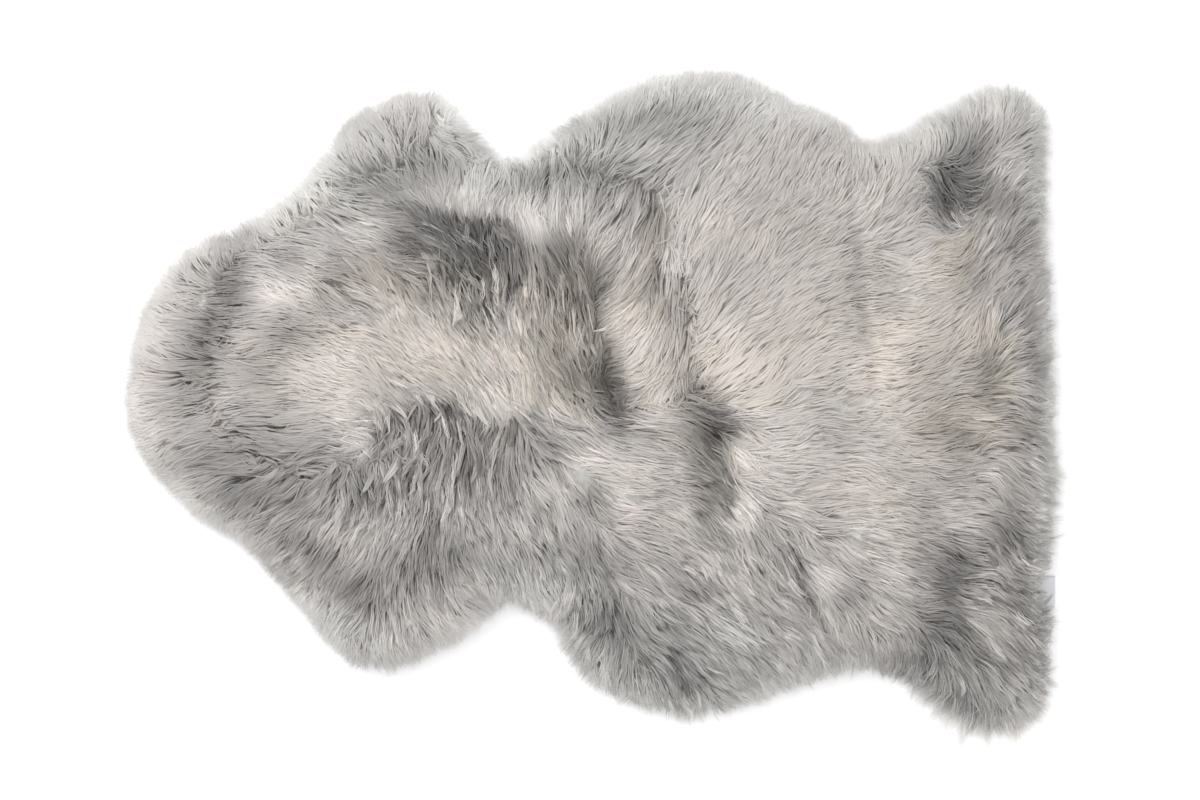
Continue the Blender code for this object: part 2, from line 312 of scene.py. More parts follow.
# how the wool is combed: where, along and across, and which way its tips point, in degrees from +X
comb = {
    "softness": 0.010,
    "nearest": 20,
    "splay": 0.30,      # how much the wool at the rim turns outwards, and more where it is combed along it
    "splayReach": 0.020,
    "splayMore": 0.45,
    "splayMost": 0.92,
    "fade": 1.6,        # how soon a stroke loses its say with distance
    "through": 0.001,   # the say a stroke keeps across a parting
    "overhang": 0.024,  # how far the wool hangs past the hide
    "strokes": {
        "neck": (
            (-95, 20, 165), (-95, 0, 180), (-93, -10, 195), (-90, -20, 205), (-85, -30, 215),
            (-90, 35, 150), (-85, 45, 140), (-85, 5, 178), (-85, 25, 172), (-83, -15, 197), (-75, -23, 203),
            (-70, -28, 208), (-60, -28, 216), (-53, -25, 238), (-75, 5, -5), (-70, 5, -10), (-70, 15, -8),
            (-60, 8, -22), (-70, -7, 3), (-62, -10, 8), (-60, -15, 17), (-55, -12, -8), (-52, -15, 5),
            (-60, 18, -12), (-62, 25, -15), (-74, 24, -8), (-74, 36, -2), (-70, 30, -6), (-66, 36, -20),
            (-61, 33, -62),
        ),
        "far shoulder": (
            (-75, 55, 137), (-65, 60, 127), (-60, 70, 120), (-53, 80, 120), (-56, 66, 132), (-48, 75, 125),
            (-45, 85, 118), (-42, 77, 117), (-40, 90, 105), (-36, 85, 95), (-36, 79, 90), (-5, 76, 70),
            (-4, 73, 60), (0, 80, 75), (-50, 60, -15), (-55, 52, -22), (-50, 50, -8), (-60, 44, -22),
            (-66, 45, -12), (-46, 62, -18), (-42, 59, -28), (-45, 50, -2), (-40, 49, -4), (-45, 66, -30),
        ),
        "light band": (
            (-33, 63, 285), (-30, 62, 268), (-28, 62, 255), (-20, 62, 255), (-15, 58, 265), (-10, 60, 268),
            (-6, 55, 275), (-4, 52, 280), (-39, 63, 315), (-43, 54, 345), (-31, 70, 280), (-24, 70, 265),
            (-17, 69, 262), (-10, 67, 265), (-4, 63, 262), (3, 62, 250), (-37, 68, 305), (-28, 77, 275),
            (-20, 75, 268), (-12, 75, 265), (-31, 75, 280),
        ),
        "shoulder hollow": (
            (-42, 46, -10), (-45, 42, -35), (-35, 45, -40), (-35, 52, -30), (-25, 45, -55), (-20, 50, -60),
            (-18, 45, -70), (-10, 48, -70), (-5, 45, -65), (-10, 40, -80), (-3, 40, -75), (0, 35, -80),
        ),
        "saddle": (
            (-55, 43, -40), (-50, 20, -22), (-50, 15, -30), (-54, -5, -35), (-45, 40, -50), (-42, 30, -50),
            (-35, 25, -48), (-30, 20, -50), (-40, 10, -35), (-35, 5, -40), (-32, 12, -42), (-25, 15, -50),
            (-23, 8, -50), (-20, 3, -60), (-18, 12, -80), (-15, 5, -75), (-14, 15, -70), (-15, 22, -85),
            (-12, 30, -85), (-6, 25, -75), (-5, 35, -80), (-8, 12, -60), (-3, 10, -70), (-2, 4, -50),
            (1, 12, -100),
        ),
        "below the ledge": (
            (-50, -35, 255), (-48, -20, 260), (-43, -18, 235), (-35, -15, 250), (-30, -15, 262),
            (-25, -10, 265), (-20, -13, 272), (-15, -10, 275), (-12, -15, 300), (-8, -12, 320),
            (-5, -8, 335), (0, -5, 342), (-5, -20, 310), (0, -20, 325), (5, -13, 337), (-10, -28, 295),
            (-20, -25, 275), (-30, -28, 270), (-40, -28, 262), (-40, -40, 255), (-30, -40, 268),
            (-20, -40, 290), (-10, -40, 293), (0, -40, 300), (5, -45, 305),
        ),
        "near shoulder": (
            (-80, -35, 218), (-70, -45, 225), (-65, -55, 230), (-60, -42, 228), (-55, -40, 235),
            (-58, -53, 235), (-55, -65, 235), (-50, -70, 255), (-45, -75, 268), (-40, -70, 275),
            (-35, -68, 290), (-30, -65, 300), (-26, -63, 305), (-52, -48, 235), (-46, -45, 255),
            (-40, -50, 262),
        ),
        "near flank": (
            (-30, -55, 275), (-28, -53, 305), (-20, -55, 275), (-10, -55, 275), (-5, -60, 278),
            (0, -55, 290), (5, -60, 272), (3, -70, 255), (-3, -70, 260), (0, -80, 255), (6, -85, 275),
            (5, -90, 290), (-10, -62, 272), (-25, -60, 300),
        ),
        "belly": (
            (10, -40, -22), (5, -32, -5), (15, -35, -25), (20, -40, -30), (20, -50, -35), (15, -50, -40),
            (10, -55, -50), (10, -65, -55), (5, -65, -75), (15, -75, -50), (10, -82, -60), (20, -70, -40),
            (25, -60, -45), (25, -85, -35), (18, -90, -55), (30, -50, -45), (30, -70, -35), (35, -60, -38),
            (40, -70, -40), (35, -85, -35), (45, -82, -45), (30, -40, -50), (38, -38, -55), (40, -50, -60),
            (43, -40, -65), (45, -62, -45), (25, -93, -50), (50, -45, -30), (50, -70, -60), (53, -65, -55),
            (52, -78, -60),
        ),
        "beside the back parting": (
            (2, 30, 205), (2, 24, 200), (3, 18, 185), (4, 12, 185), (5, 6, 175), (4, 28, 215), (5, 35, 236),
            (6, 28, 232), (3, 45, 238), (5, 53, 240), (3, 55, 238), (0, 60, 250), (8, 60, 252),
            (12, 60, 262), (14, 54, 267), (10, 50, 256), (12.5, 42, 266), (15.5, 45, 270), (16.5, 36, 268),
            (14, 32, 270), (17.5, 27, 268), (15, 22, 266), (18.5, 18, 266), (17, 12, 262), (19.5, 7, 256),
            (9, 38, 246), (10, 28, 248), (12, 15, 248), (9, 20, 236), (8, 10, 220), (13, 7, 240),
            (9, 4, 205), (15, 2, 232),
        ),
        "loin": (
            (23, 40, 65), (25, 25, 50), (26, 12, 48), (29, 3, 40), (30, 50, 55), (30, 35, 42), (35, 20, 45),
            (40, 10, 45), (40, 30, 38), (50, 35, 30), (50, 20, 25), (50, 10, 20), (35, 2, 30), (42, 0, 15),
            (50, 0, 8), (33, -5, 20), (31, -8, -10), (35, -12, -5), (42, -10, 3), (50, -10, 5),
            (40, -20, -12), (50, -20, -5), (32, -20, -20), (30, -28, -40), (35, -30, -20), (40, -28, -25),
            (45, -30, -15), (50, -30, -10), (25, -15, -45), (28, -23, -60), (20, -12, -25), (15, -15, -15),
            (10, -12, -12), (10, -20, -12), (20, -25, -25), (24, -33, -50), (10, -30, -8), (5, -25, -25),
            (2, -30, -45), (5, -5, -10), (15, -8, -5),
        ),
        "far flank": (
            (0, 80, 45), (5, 85, 75), (10, 75, 40), (15, 70, 45), (10, 88, 60), (20, 80, 37), (20, 92, 60),
            (30, 90, 60), (30, 80, 45), (40, 85, 60), (40, 92, 65), (50, 85, 65), (40, 70, 60),
            (30, 70, 50), (30, 60, 58), (20, 65, 62), (18, 62, 68), (21, 50, 66), (21, 36, 62),
            (24, 20, 54), (40, 50, 50), (50, 60, 50), (50, 50, 38), (40, 40, 42), (50, 75, 62),
            (54, 80, 70),
        ),
        "far hind leg": (
            (60, 73, 72), (65, 75, 70), (70, 75, 75), (70, 63, 62), (60, 60, 57), (65, 54, 42),
            (60, 50, 30), (70, 48, 25), (75, 45, 30), (73, 40, 5), (75, 83, 95), (80, 85, 80), (85, 93, 80),
            (85, 85, 70), (90, 90, 75), (93, 87, 55), (82, 75, 55), (87, 70, 28), (90, 75, 30),
            (93, 70, 50), (90, 63, 60), (86, 62, 55), (75, 63, -80), (78, 64, 0), (72.5, 67, -85),
            (73.5, 59, -82), (74.5, 53, -80), (82, 52, 60), (80, 44, 57), (85, 47, 57), (90, 50, 48),
            (95, 55, 42), (97, 45, 20), (90, 40, 45), (60, 40, 10),
        ),
        "rump": (
            (55, 30, 8), (60, 20, 0), (65, 30, 0), (65, 10, -2), (70, 20, 10), (75, 25, 40), (75, 15, 35),
            (80, 20, 60), (83, 25, 60), (87, 25, 52), (90, 20, 35), (95, 30, 25), (95, 20, 20),
            (85, 10, 45), (90, 10, 35), (93, 5, -20), (96, 0, -35), (93, -5, -35), (90, 2, -28),
            (95, 12, 0), (70, 5, 20), (75, 0, 35), (80, 0, 10), (80, -5, 5), (85, -3, 0), (70, -10, 0),
            (60, -10, -5), (60, -20, -10), (70, -20, -15), (83, -13, 20), (80, -18, -5), (90, -10, -30),
            (93, -17, -40), (90, -23, -35), (96, -15, -20), (97, -30, -5), (85, -25, -35), (80, -28, -10),
            (75, -25, -15), (60, -30, -12), (70, -30, -20),
        ),
        "near hind leg": (
            (55, -45, -25), (60, -50, -20), (65, -40, -20), (65, -55, -20), (70, -50, -15), (75, -42, -20),
            (80, -40, -15), (87, -43, -60), (90, -47, -47), (95, -45, -15), (97, -55, 0), (82, -53, 5),
            (80, -60, -10), (85, -55, -50), (90, -65, -35), (95, -65, -20), (85, -65, -35), (80, -70, -50),
            (83, -75, -45), (90, -75, -45), (95, -75, -40), (80, -90, -50), (85, -85, -50), (90, -85, -50),
            (93, -90, -50), (76, -84, -72), (70, -80, -92), (70, -85, -108), (74, -90, -108),
            (78, -95, -102), (66, -81, -100), (82, -97, -85), (75, -75, -45), (71, -73, -55),
            (78, -80, -60), (60, -60, -45), (65, -65, -40), (60, -70, -50), (55, -70, -60), (65, -77, -55),
            (60, -80, -75), (53, -80, -75), (70, -60, 0), (73, -65, -20),
        ),
    },
    # lines that the comb starts from on both sides, so that neither side's strokes reach over them
    "partings": {
        "shoulder": (
            (-48.5, -14), (-52, -18), (-58, -22), (-68, -19), (-76, -10), (-78.5, -3), (-81.5, 4),
            (-79.5, 11), (-82.5, 18), (-80, 24), (-82, 31), (-78.5, 37), (-77, 43), (-71, 46), (-66, 50),
            (-58, 57), (-50, 65), (-43, 69.5), (-37, 74), (-33, 80), (-31, 90),
        ),
        "loin": (
            (-9, 84), (-7.5, 75), (-3, 69), (5, 67), (12, 64.5), (15.5, 57), (17.8, 46), (18.8, 36),
            (20, 27), (20.8, 18), (22.5, 8), (26.5, -6),
        ),
        "back": ((0, 38), (1, 30), (2.3, 17.4), (4.2, 2.3), (6, -2)),
        "below the back": ((6, -2), (10, -1.5), (16, -0.5), (21.5, 4.5)),
    },
}

# where overhanging wool ends: locks that run over one of these lines stop a little past it,
# and the wool to the right of the line, going along it, lies in the shade
ledges = {
    "overshoot": 0.005,
    "tuftOvershoot": 0.004,
    "spread": 0.007,
    "strandSpread": 0.002,
    "shadeReach": 0.011,
    "shades": {"saddle": 0.22, "light band": 0.26, "back": 0.20, "below the back": 0.04, "flank": 0.16},
    "lines": {
        "saddle": (
            (-50, -6), (-45.5, -9), (-42, -3), (-37, 0), (-31, 0), (-28.5, -3), (-25, -4), (-21.5, -7.2),
            (-15, -5), (-12, 2),
        ),
        "light band": ((-44, 60), (-38, 60), (-34, 59), (-31, 57.5), (-27, 57), (-20, 57), (-16.5, 53.5)),
        "back": ((4.2, 2.3), (2.3, 17.4), (1, 30), (0, 38)),
        "below the back": ((5, 0.5), (10, -1.5), (16, -0.5), (21.5, 4.5), (27, 1)),
        "flank": ((48.8, -70), (46.8, -63), (44.8, -58.5), (43, -53), (41.8, -45), (40.5, -37)),
    },
}


def stretchesOf(lines):
    # the straight stretches of lines given in hundredths, in metres
    stretches = []
    for line in lines:
        places = np.array(line) / 100 * halfSize
        stretches += zip(places, places[1:])
    return stretches


def crossings(starts, ways, lineStart, lineEnd):
    # the share of each way at which it crosses a stretch, or infinity where it doesn't
    line = lineEnd - lineStart
    turn = ways[..., 0] * line[1] - ways[..., 1] * line[0]
    turn = np.where(np.abs(turn) < 1e-12, 1e-12, turn)
    gap = lineStart - starts
    along = (gap[..., 0] * line[1] - gap[..., 1] * line[0]) / turn
    beside = (gap[..., 0] * ways[..., 1] - gap[..., 1] * ways[..., 0]) / turn
    met = (along >= 0) & (along <= 1) & (beside >= 0) & (beside <= 1)
    return np.where(met, along, np.inf)


fromOverhang = np.clip(fromWoolEdge - comb["overhang"], 0, None)


def combField():
    # one direction for each place, from the strokes around it on its own side of the partings
    strokes = np.array([stroke for part in comb["strokes"].values() for stroke in part])
    places = strokes[:, :2] / 100 * halfSize
    angles = np.radians(strokes[:, 2])
    headings = np.stack((np.cos(angles), np.sin(angles)), axis=1)
    gaps = np.hypot(spots[:, 0, None] - places[:, 0], spots[:, 1, None] - places[:, 1])
    nearest = np.argpartition(gaps, comb["nearest"], axis=1)[:, :comb["nearest"]]
    gap = np.take_along_axis(gaps, nearest, axis=1)
    weight = (gap * gap + comb["softness"] ** 2) ** -comb["fade"]
    starts = np.repeat(spots[:, None, :], comb["nearest"], axis=1)
    ways = places[nearest] - starts
    for lineStart, lineEnd in stretchesOf(comb["partings"].values()):
        parted = np.isfinite(crossings(starts, ways, lineStart, lineEnd))
        weight[parted] *= comb["through"]
    summed = unit((headings[nearest] * weight[..., None]).sum(axis=1) / weight.sum(axis=1)[:, None])
    agreement = (summed * outwards).sum(axis=1)
    most = comb["splay"] + comb["splayMore"] * (0.6 - agreement)
    most = np.clip(most, comb["splay"], comb["splayMost"])
    most = most * np.clip(2 + 3 * agreement, 0, 1)
    splay = most * nearness(fromOverhang, comb["splayReach"])
    return Field(summed * (1 - splay[:, None]) + outwards * splay[:, None])


combed = combField()
print("comb set from", sum(len(part) for part in comb["strokes"].values()), "strokes")


# the wool's uneven tone, in soft patches: partly its dye, partly painted shade in its hollows, creases and
# partings and painted highlights beside some creases; each one's place and half size along and across, how
# much lighter it is, and for some how much warmer, all in hundredths
dye = {
    "base": 0.565,
    "edge": 1.2,
    "patches": (
        # the narrow patches from 54 to 60 along draw the fold down the loin: a painted shadow line with a
        # painted highlight to its right
        (58.3, 10, 0.6, 8, -13), (59.7, 10, 0.6, 8, 6), (56.7, 27, 0.7, 10, -13), (57.2, 44, 0.7, 10, 5),
        (58.3, 27, 0.7, 10, 6), (-49, -27, 0.8, 5, -15), (55.4, 44, 0.8, 10, -10), (54, 60, 0.8, 12, -8),
        (-26.5, -24, 1, 4, -8), (-45.7, -9.5, 1.2, 3, -20), (-44, -20, 1.2, 4, 12),
        (88.5, 0, 1.2, 10, -6, 20), (-34, 31, 2, 3, -8), (26, -25, 2, 3, -8), (20, 9, 2, 3, -8),
        (-48.5, -8, 2, 3, 9), (-29, -15, 2, 4, -11), (-3, 17, 2, 4, 9), (41, -35, 2, 4, 10),
        (-20, 20, 2, 4, 9), (7, 54, 2, 4, -10), (77, 57, 2, 4, 9), (-57, 33, 2, 5, -12), (4, 22, 2, 5, 6),
        (16.5, 42, 2, 5, 10), (97, 1, 2, 5, 6), (17, 43, 2, 6, -3, -100), (94, 84, 2, 6, 8),
        (75, 58, 2, 7, -15, -30), (73.7, 64.5, 2, 7, -15), (-22, 48, 2, 8, 6), (96, 50, 2, 10, 7),
        (44.5, -57, 2, 11, -13, -30), (-12, 42, 2, 12, 15), (95, -55, 2, 12, 7),
        (-46.5, -26, 2.5, 3.5, -14), (1, 48, 2.5, 5, 20), (-4, 42, 2.5, 7, -6), (14, 45, 2.5, 12, -18, 40),
        (18, 25, 2.5, 12, -20, 40), (-30, -1, 3, 2, -12), (10, -3, 3, 3, 9), (-40, 29, 3, 3, 8),
        (55, -64, 3, 3, 9), (-70, -30, 3, 3, -5), (-51, -54, 3, 3, -12), (-84, 29, 3, 4, 9),
        (-64, 43, 3, 4, -8), (50, -39, 3, 4, -14), (93, -33, 3, 4, 7), (78.5, 55, 3, 4, 12),
        (-64, 40, 3, 4, -14), (-40, 49, 3, 4, -8), (81, 75, 3, 4, -12), (80, 19, 3, 4, 8),
        (-4, 56, 3, 4, 9), (-24, -46, 3, 4, -7), (20, -18, 3, 4, -7), (53, -58.5, 3, 4.5, -14),
        (3.5, 6, 3, 5, -17), (14, 70, 3, 5, 6), (20, 22, 3, 5, 6), (21, -28, 3, 5, 4), (-55, 28, 3, 5, -10),
        (-50, -71, 3, 5, -9), (48, -55, 3, 5, 11), (0, 28, 3, 5, -6), (30, -53, 3, 5, 9),
        (69, -46, 3, 5, -7), (-97, 1, 3, 5, 10), (36, -28, 3, 5, -5), (36, 72, 3, 5, -5),
        (72, 76, 3, 5, 10), (90, 24, 3, 5, -9), (-88, -27, 3, 5, 8), (16, 61, 3, 5, 14), (93, 11, 3, 5, -8),
        (48.5, -66, 3, 5, 7), (44, -74, 3, 5, -6), (97, -43, 3, 5, -10), (14, -19, 3, 6, -6),
        (-75, 35, 3, 6, -9), (64, -50, 3, 6, 6), (55, -42, 3, 6, 6), (-80, 22, 3, 6, -7),
        (-14, 29, 3, 6, 10), (-34, -39, 3, 6, -11), (97, -66, 3, 6, -12), (84, 7, 3, 7, -15, 40),
        (17, -81, 3, 7, -9), (0, -27, 3, 7, -16), (88, 8, 3, 7, 15), (94, -24, 3, 7, 9), (48, -50, 3, 7, 7),
        (1, 38, 3, 8, -18), (3, 15, 3, 8, -20), (-36, -17, 3, 8, 6), (11, -80, 3, 8, 7),
        (25, -28, 3, 8, -6), (30, -14, 3, 8, 16), (37, -42, 3, 10, -15), (-58, 0, 3, 10, -8),
        (11, 33, 3, 11, -10), (80, -57, 3, 12, 13), (84, 46, 3, 18, 9), (94, -42, 3, 20, 9),
        (98.5, 0, 3, 120, 6, -40), (-57, -46, 3.5, 3.5, -19), (-30, -30, 3.5, 5, 15),
        (-42, -8, 3.5, 5, -13), (21.5, 3.5, 3.5, 6, -14), (-76, 35, 3.5, 7, -22), (6, 20, 3.5, 9, 13),
        (-36, 11, 4, 3, 8), (-12, -32, 4, 3, -7), (5, -9, 4, 3, -8), (-61, -41, 4, 3, -16),
        (-11, -23, 4, 3, 6), (-8, -26, 4, 4, 7), (19, -94, 4, 4, 9), (90, -9, 4, 4, -12),
        (-92, 0, 4, 4, -7), (-10, -13, 4, 4, -8), (-70, 9, 4, 4, -9), (-71, 21, 4, 4, 6), (-7, 33, 4, 4, 7),
        (31, -33, 4, 4, 18), (76, -81, 4, 4, 16), (83, -82, 4, 4, -7), (-55, 38, 4, 5, -12, 20),
        (70, 80, 4, 5, 8), (-17.5, 27, 4, 5, 14), (25, -49, 4, 5, 11), (-50, 27, 4, 5, -8),
        (13, -27, 4, 5, -5), (-60, 50, 4, 5, -6), (22, -7, 4, 5, 7), (72, -16, 4, 5, 7),
        (-43, -33, 4, 5, 10), (-55, -29, 4, 5, 7), (-33, 70, 4, 5, -8), (14, -3, 4, 5, 9),
        (-60, 28, 4, 6, -12, 30), (-28, 29, 4, 6, 9), (-4, -44, 4, 6, -7), (-8, 10, 4, 8, -11),
        (22, -2, 4, 8, -8), (-30, 83, 4, 8, 14), (-93, -12, 4, 8, 7), (-93, 14, 4, 8, 5),
        (70, -28, 4, 8, -4), (16, 44, 4, 10, 10), (83, 10, 4, 10, -5, 80), (-57, 15, 4, 10, -6),
        (-22, -32, 4, 10, 6), (-79, 33, 4, 12, -9), (-82, 37, 4, 12, 24), (92, -50, 4, 12, 13),
        (-83, 20, 4, 25, -17), (95, -20, 4, 55, -10, -30), (77, -51, 4.5, 8.5, -35, -30),
        (-71, -20, 5, 3, 9), (-65, 55, 5, 3, 8), (-77, 50, 5, 3, -17), (25, 53, 5, 3, 7),
        (-27, -53, 5, 3, 12), (31, -2, 5, 4, 10), (90, 71, 5, 4, -3), (81, -6, 5, 4, 11),
        (76, -78, 5, 4, 6), (26, -48, 5, 4, 5), (-10, 67, 5, 4, -12), (79, -34, 5, 4, 7),
        (-20, -10, 5, 4, 0, 40), (-63.5, 19, 5, 4.5, -20), (26, -7, 5, 5, -35), (-48, 51, 5, 5, 13),
        (-48, -11, 5, 5, 15), (0, -61, 5, 5, -9), (55, 30, 5, 5, -3), (-50, 58, 5, 5, -5),
        (-38, 58, 5, 5, 14), (-30, 0, 5, 5, -6), (-3, -15, 5, 5, 7), (-55, -61, 5, 5, 12),
        (20, -10, 5, 5, 0, 40), (5, -1, 5, 6, -28), (21, -54, 5, 6, -12), (-24, 22, 5, 6, -11),
        (-8, -68, 5, 6, 12), (-9, -50, 5, 6, 7), (10, 18, 5, 6, 0, -60), (-22, 10, 5, 6, 0, -40),
        (8, 6, 5, 7, 12), (-60, -61.5, 5, 7, 11), (-80, 0, 5, 7, 9), (-84, -31, 5, 7, 7),
        (-67, -20, 5, 7, 8), (87, -36, 5, 7, -7), (93, -57, 5, 8, -15, -30), (80, 38, 5, 8, -9),
        (90, 45, 5, 8, -8), (87, -54, 5, 8, -13), (1, -80, 5, 8, 14), (36, 7, 5, 8, -5), (69, 10, 5, 8, -4),
        (80, 25, 5, 8, 0, 60), (0, 5, 5, 8, 0, 40), (70, 10, 5, 9, -9), (-60, 36, 5, 10, 18),
        (-40, 50, 5, 10, -12), (25, 60, 5, 10, 7), (10, 22, 5, 12, 11, 40), (90, -35, 5, 12, -12),
        (76, 42, 5, 12, -2, 80), (25, -22, 5, 13, -28, 50), (-90, 30, 5, 14, 10), (-96, 0, 5, 20, 9, 20),
        (-8, 47, 5.5, 3.5, -15), (-14, 51, 5.5, 5.5, 20), (-50, -54, 6, 3, -9), (91, -73, 6, 3, -6),
        (86, -84, 6, 4, 12), (-5, 19, 6, 4, 6), (-58, 63, 6, 4, 12), (-33, 57, 6, 5, -16),
        (10, -68, 6, 5, 7), (-2, -70, 6, 5, 7), (-10, 78, 6, 5, 13), (80, 56, 6, 5, -7),
        (84, 62, 6, 6, -20), (87, -40, 6, 6, -15), (-47, 53, 6, 6, 8), (66, -72, 6, 6, -6),
        (-37, 44, 6, 6, 9), (90, -92, 6, 6, 10), (-70, 30, 6, 6, 0, -40), (75, -70, 6, 8, -30, -40),
        (75, -10, 6, 8, -12, 40), (1, 9, 6, 8, -12), (-60, 8, 6, 8, 0, -40), (80, 28, 6, 8, 0, -50),
        (70, 42, 6, 12, 8), (60, -6, 6, 12, 5), (10, 50, 6, 12, 0, 30), (-56, 2, 6, 18, 9),
        (93, 80, 6, 20, -6, -50), (-43, 64, 7, 3, -13), (-45, -60, 7, 3, -13), (-80, -17, 7, 4, -11),
        (-55, 54, 7, 4, -6), (-28, 65, 7, 5, 15), (80, 65, 7, 5, 8), (-62, -17, 7, 5, -8),
        (-54, -73, 7, 5, 10), (-5, -44, 7, 5, -6), (-56, 70, 7, 5, 9), (87, 67, 7, 7, 20),
        (78, 66, 7, 9, -35, -60), (-3, 12, 7, 9, -12, 180), (-87, -25, 7, 9, 8), (-81, 6, 7, 13, -11),
        (-70, -4, 7, 13, -14), (-5, 25, 7, 20, 0, 60), (-8, 2, 8, 3, 6), (7, 74, 8, 3, 7),
        (-42, 76, 8, 4, 7), (46, 83, 8, 4, 5), (-22, -11, 8, 4, 11), (2, 87, 8, 4, 8), (-33, -1, 8, 5, -6),
        (-28, -66, 8, 5, 15), (3, 78, 8, 5, 10), (-38, -60, 8, 5, 6), (-20, 74, 8, 5, 14),
        (70, -80, 8, 6, -12, -40), (-70, 35, 8, 6, 18, 40), (-40, 88, 8, 6, 8, 20), (-70, 20, 8, 6, -8),
        (-44, -73, 8, 6, 10), (12, 62, 8, 6, -6), (78, -8, 8, 6, -4, 90), (-10, 42, 8, 8, -9, 40),
        (5, -66, 8, 8, -20, -30), (-77, -35, 8, 8, 13), (-42, 7, 8, 8, -3), (55, 32, 8, 10, -6),
        (-80, 35, 8, 12, -12), (-5, 30, 8, 12, -15), (-20, 64, 9, 4, -17), (4, -60, 9, 5, 9),
        (-26, 10, 9, 5, -10), (-34, -49, 9, 6, -6), (24, -68, 9, 7, 17), (-17, -56, 10, 5, 14),
        (8, 91, 10, 5, 15), (6, -32, 10, 5, -7), (-53, 74, 10, 5, 6), (-40, 40, 10, 5, 0, 30),
        (-72, 50, 10, 6, 5), (88, -73, 10, 6, -8), (90, 90, 10, 6, 14), (30, -75, 10, 7, 7),
        (-42, -8, 10, 7, 8), (-20, 10, 10, 10, 10, 40), (8, -78, 10, 10, 11), (35, 35, 10, 10, 0, -25),
        (38, -16, 10, 12, 12), (-50, -43, 10, 12, 9), (-5, 30, 10, 15, 0, 50), (65, 10, 10, 20, 12, 50),
        (85, 5, 10, 20, 0, 30), (-73, -28, 11, 7, -14), (35, -79, 11, 12, 14), (33, 8, 12, 7, 9),
        (82, -88, 12, 8, -17, -60), (-55, -66, 12, 8, 0, -80), (25, -70, 12, 10, -12, -60),
        (5, 73, 12, 10, 8), (-22, 36, 12, 12, -24), (60, 65, 12, 12, 7), (-65, 10, 12, 15, 15, 50),
        (4, -18, 13, 5, 8), (-28, -10, 13, 6, -10), (-27, 48, 13, 7.5, -30, -60), (44, 88, 14, 5, 12),
        (-16, -37, 14, 9, 7), (-25, -8, 15, 4, -12), (-10, -50, 15, 10, -12, -60),
        (10, -28, 15, 10, 15, 20), (-42, 68, 15, 12, -15, -60), (-45, -55, 15, 12, -13),
        (-18, -6, 16, 5, 10), (-35, 39, 16, 7, 0, 90), (-25, -3, 18, 6, 6), (27, 77, 18, 13, 15),
        (-35, 15, 18, 16, 11, 50), (25, 97, 20, 4, 12), (-65, -25, 20, 12, -13, -30),
        (5, 70, 20, 12, -20, -70), (20, 5, 20, 12, 0, 35), (60, -30, 20, 15, 7, 30),
        (-30, -20, 20, 17, -16, -30), (-20, 60, 22, 6, 18, 20), (18, -78, 22, 12, -22, -70),
        (15, 85, 25, 8, -12, -70), (35, 30, 25, 25, 10.5, 40), (35, 88, 70, 7, 0, -45),
    ),
}


def softPatch(along, across, halfAlong, halfAcross, edge):
    # 1 in the middle of a patch and less away from it, sooner with a harder edge
    gap = (spots / halfSize - np.array((along, across)) / 100) / (halfAlong / 100, halfAcross / 100)
    return np.exp(-0.7 * (gap ** 2).sum(axis=1) ** edge)


def dyeAndShadingFields():
    # the tone and the warmth over the ground, each the sum of its patches
    tone, warmth = np.full(len(spots), dye["base"]), np.zeros(len(spots))
    for along, across, halfAlong, halfAcross, lighter, *warmer in dye["patches"]:
        soft = softPatch(along, across, halfAlong, halfAcross, dye["edge"])
        tone += lighter / 100 * soft
        warmth += sum(warmer) / 100 * soft
    return Field(tone), Field(warmth)


dyeAndShadingTone, dyeWarmth = dyeAndShadingFields()


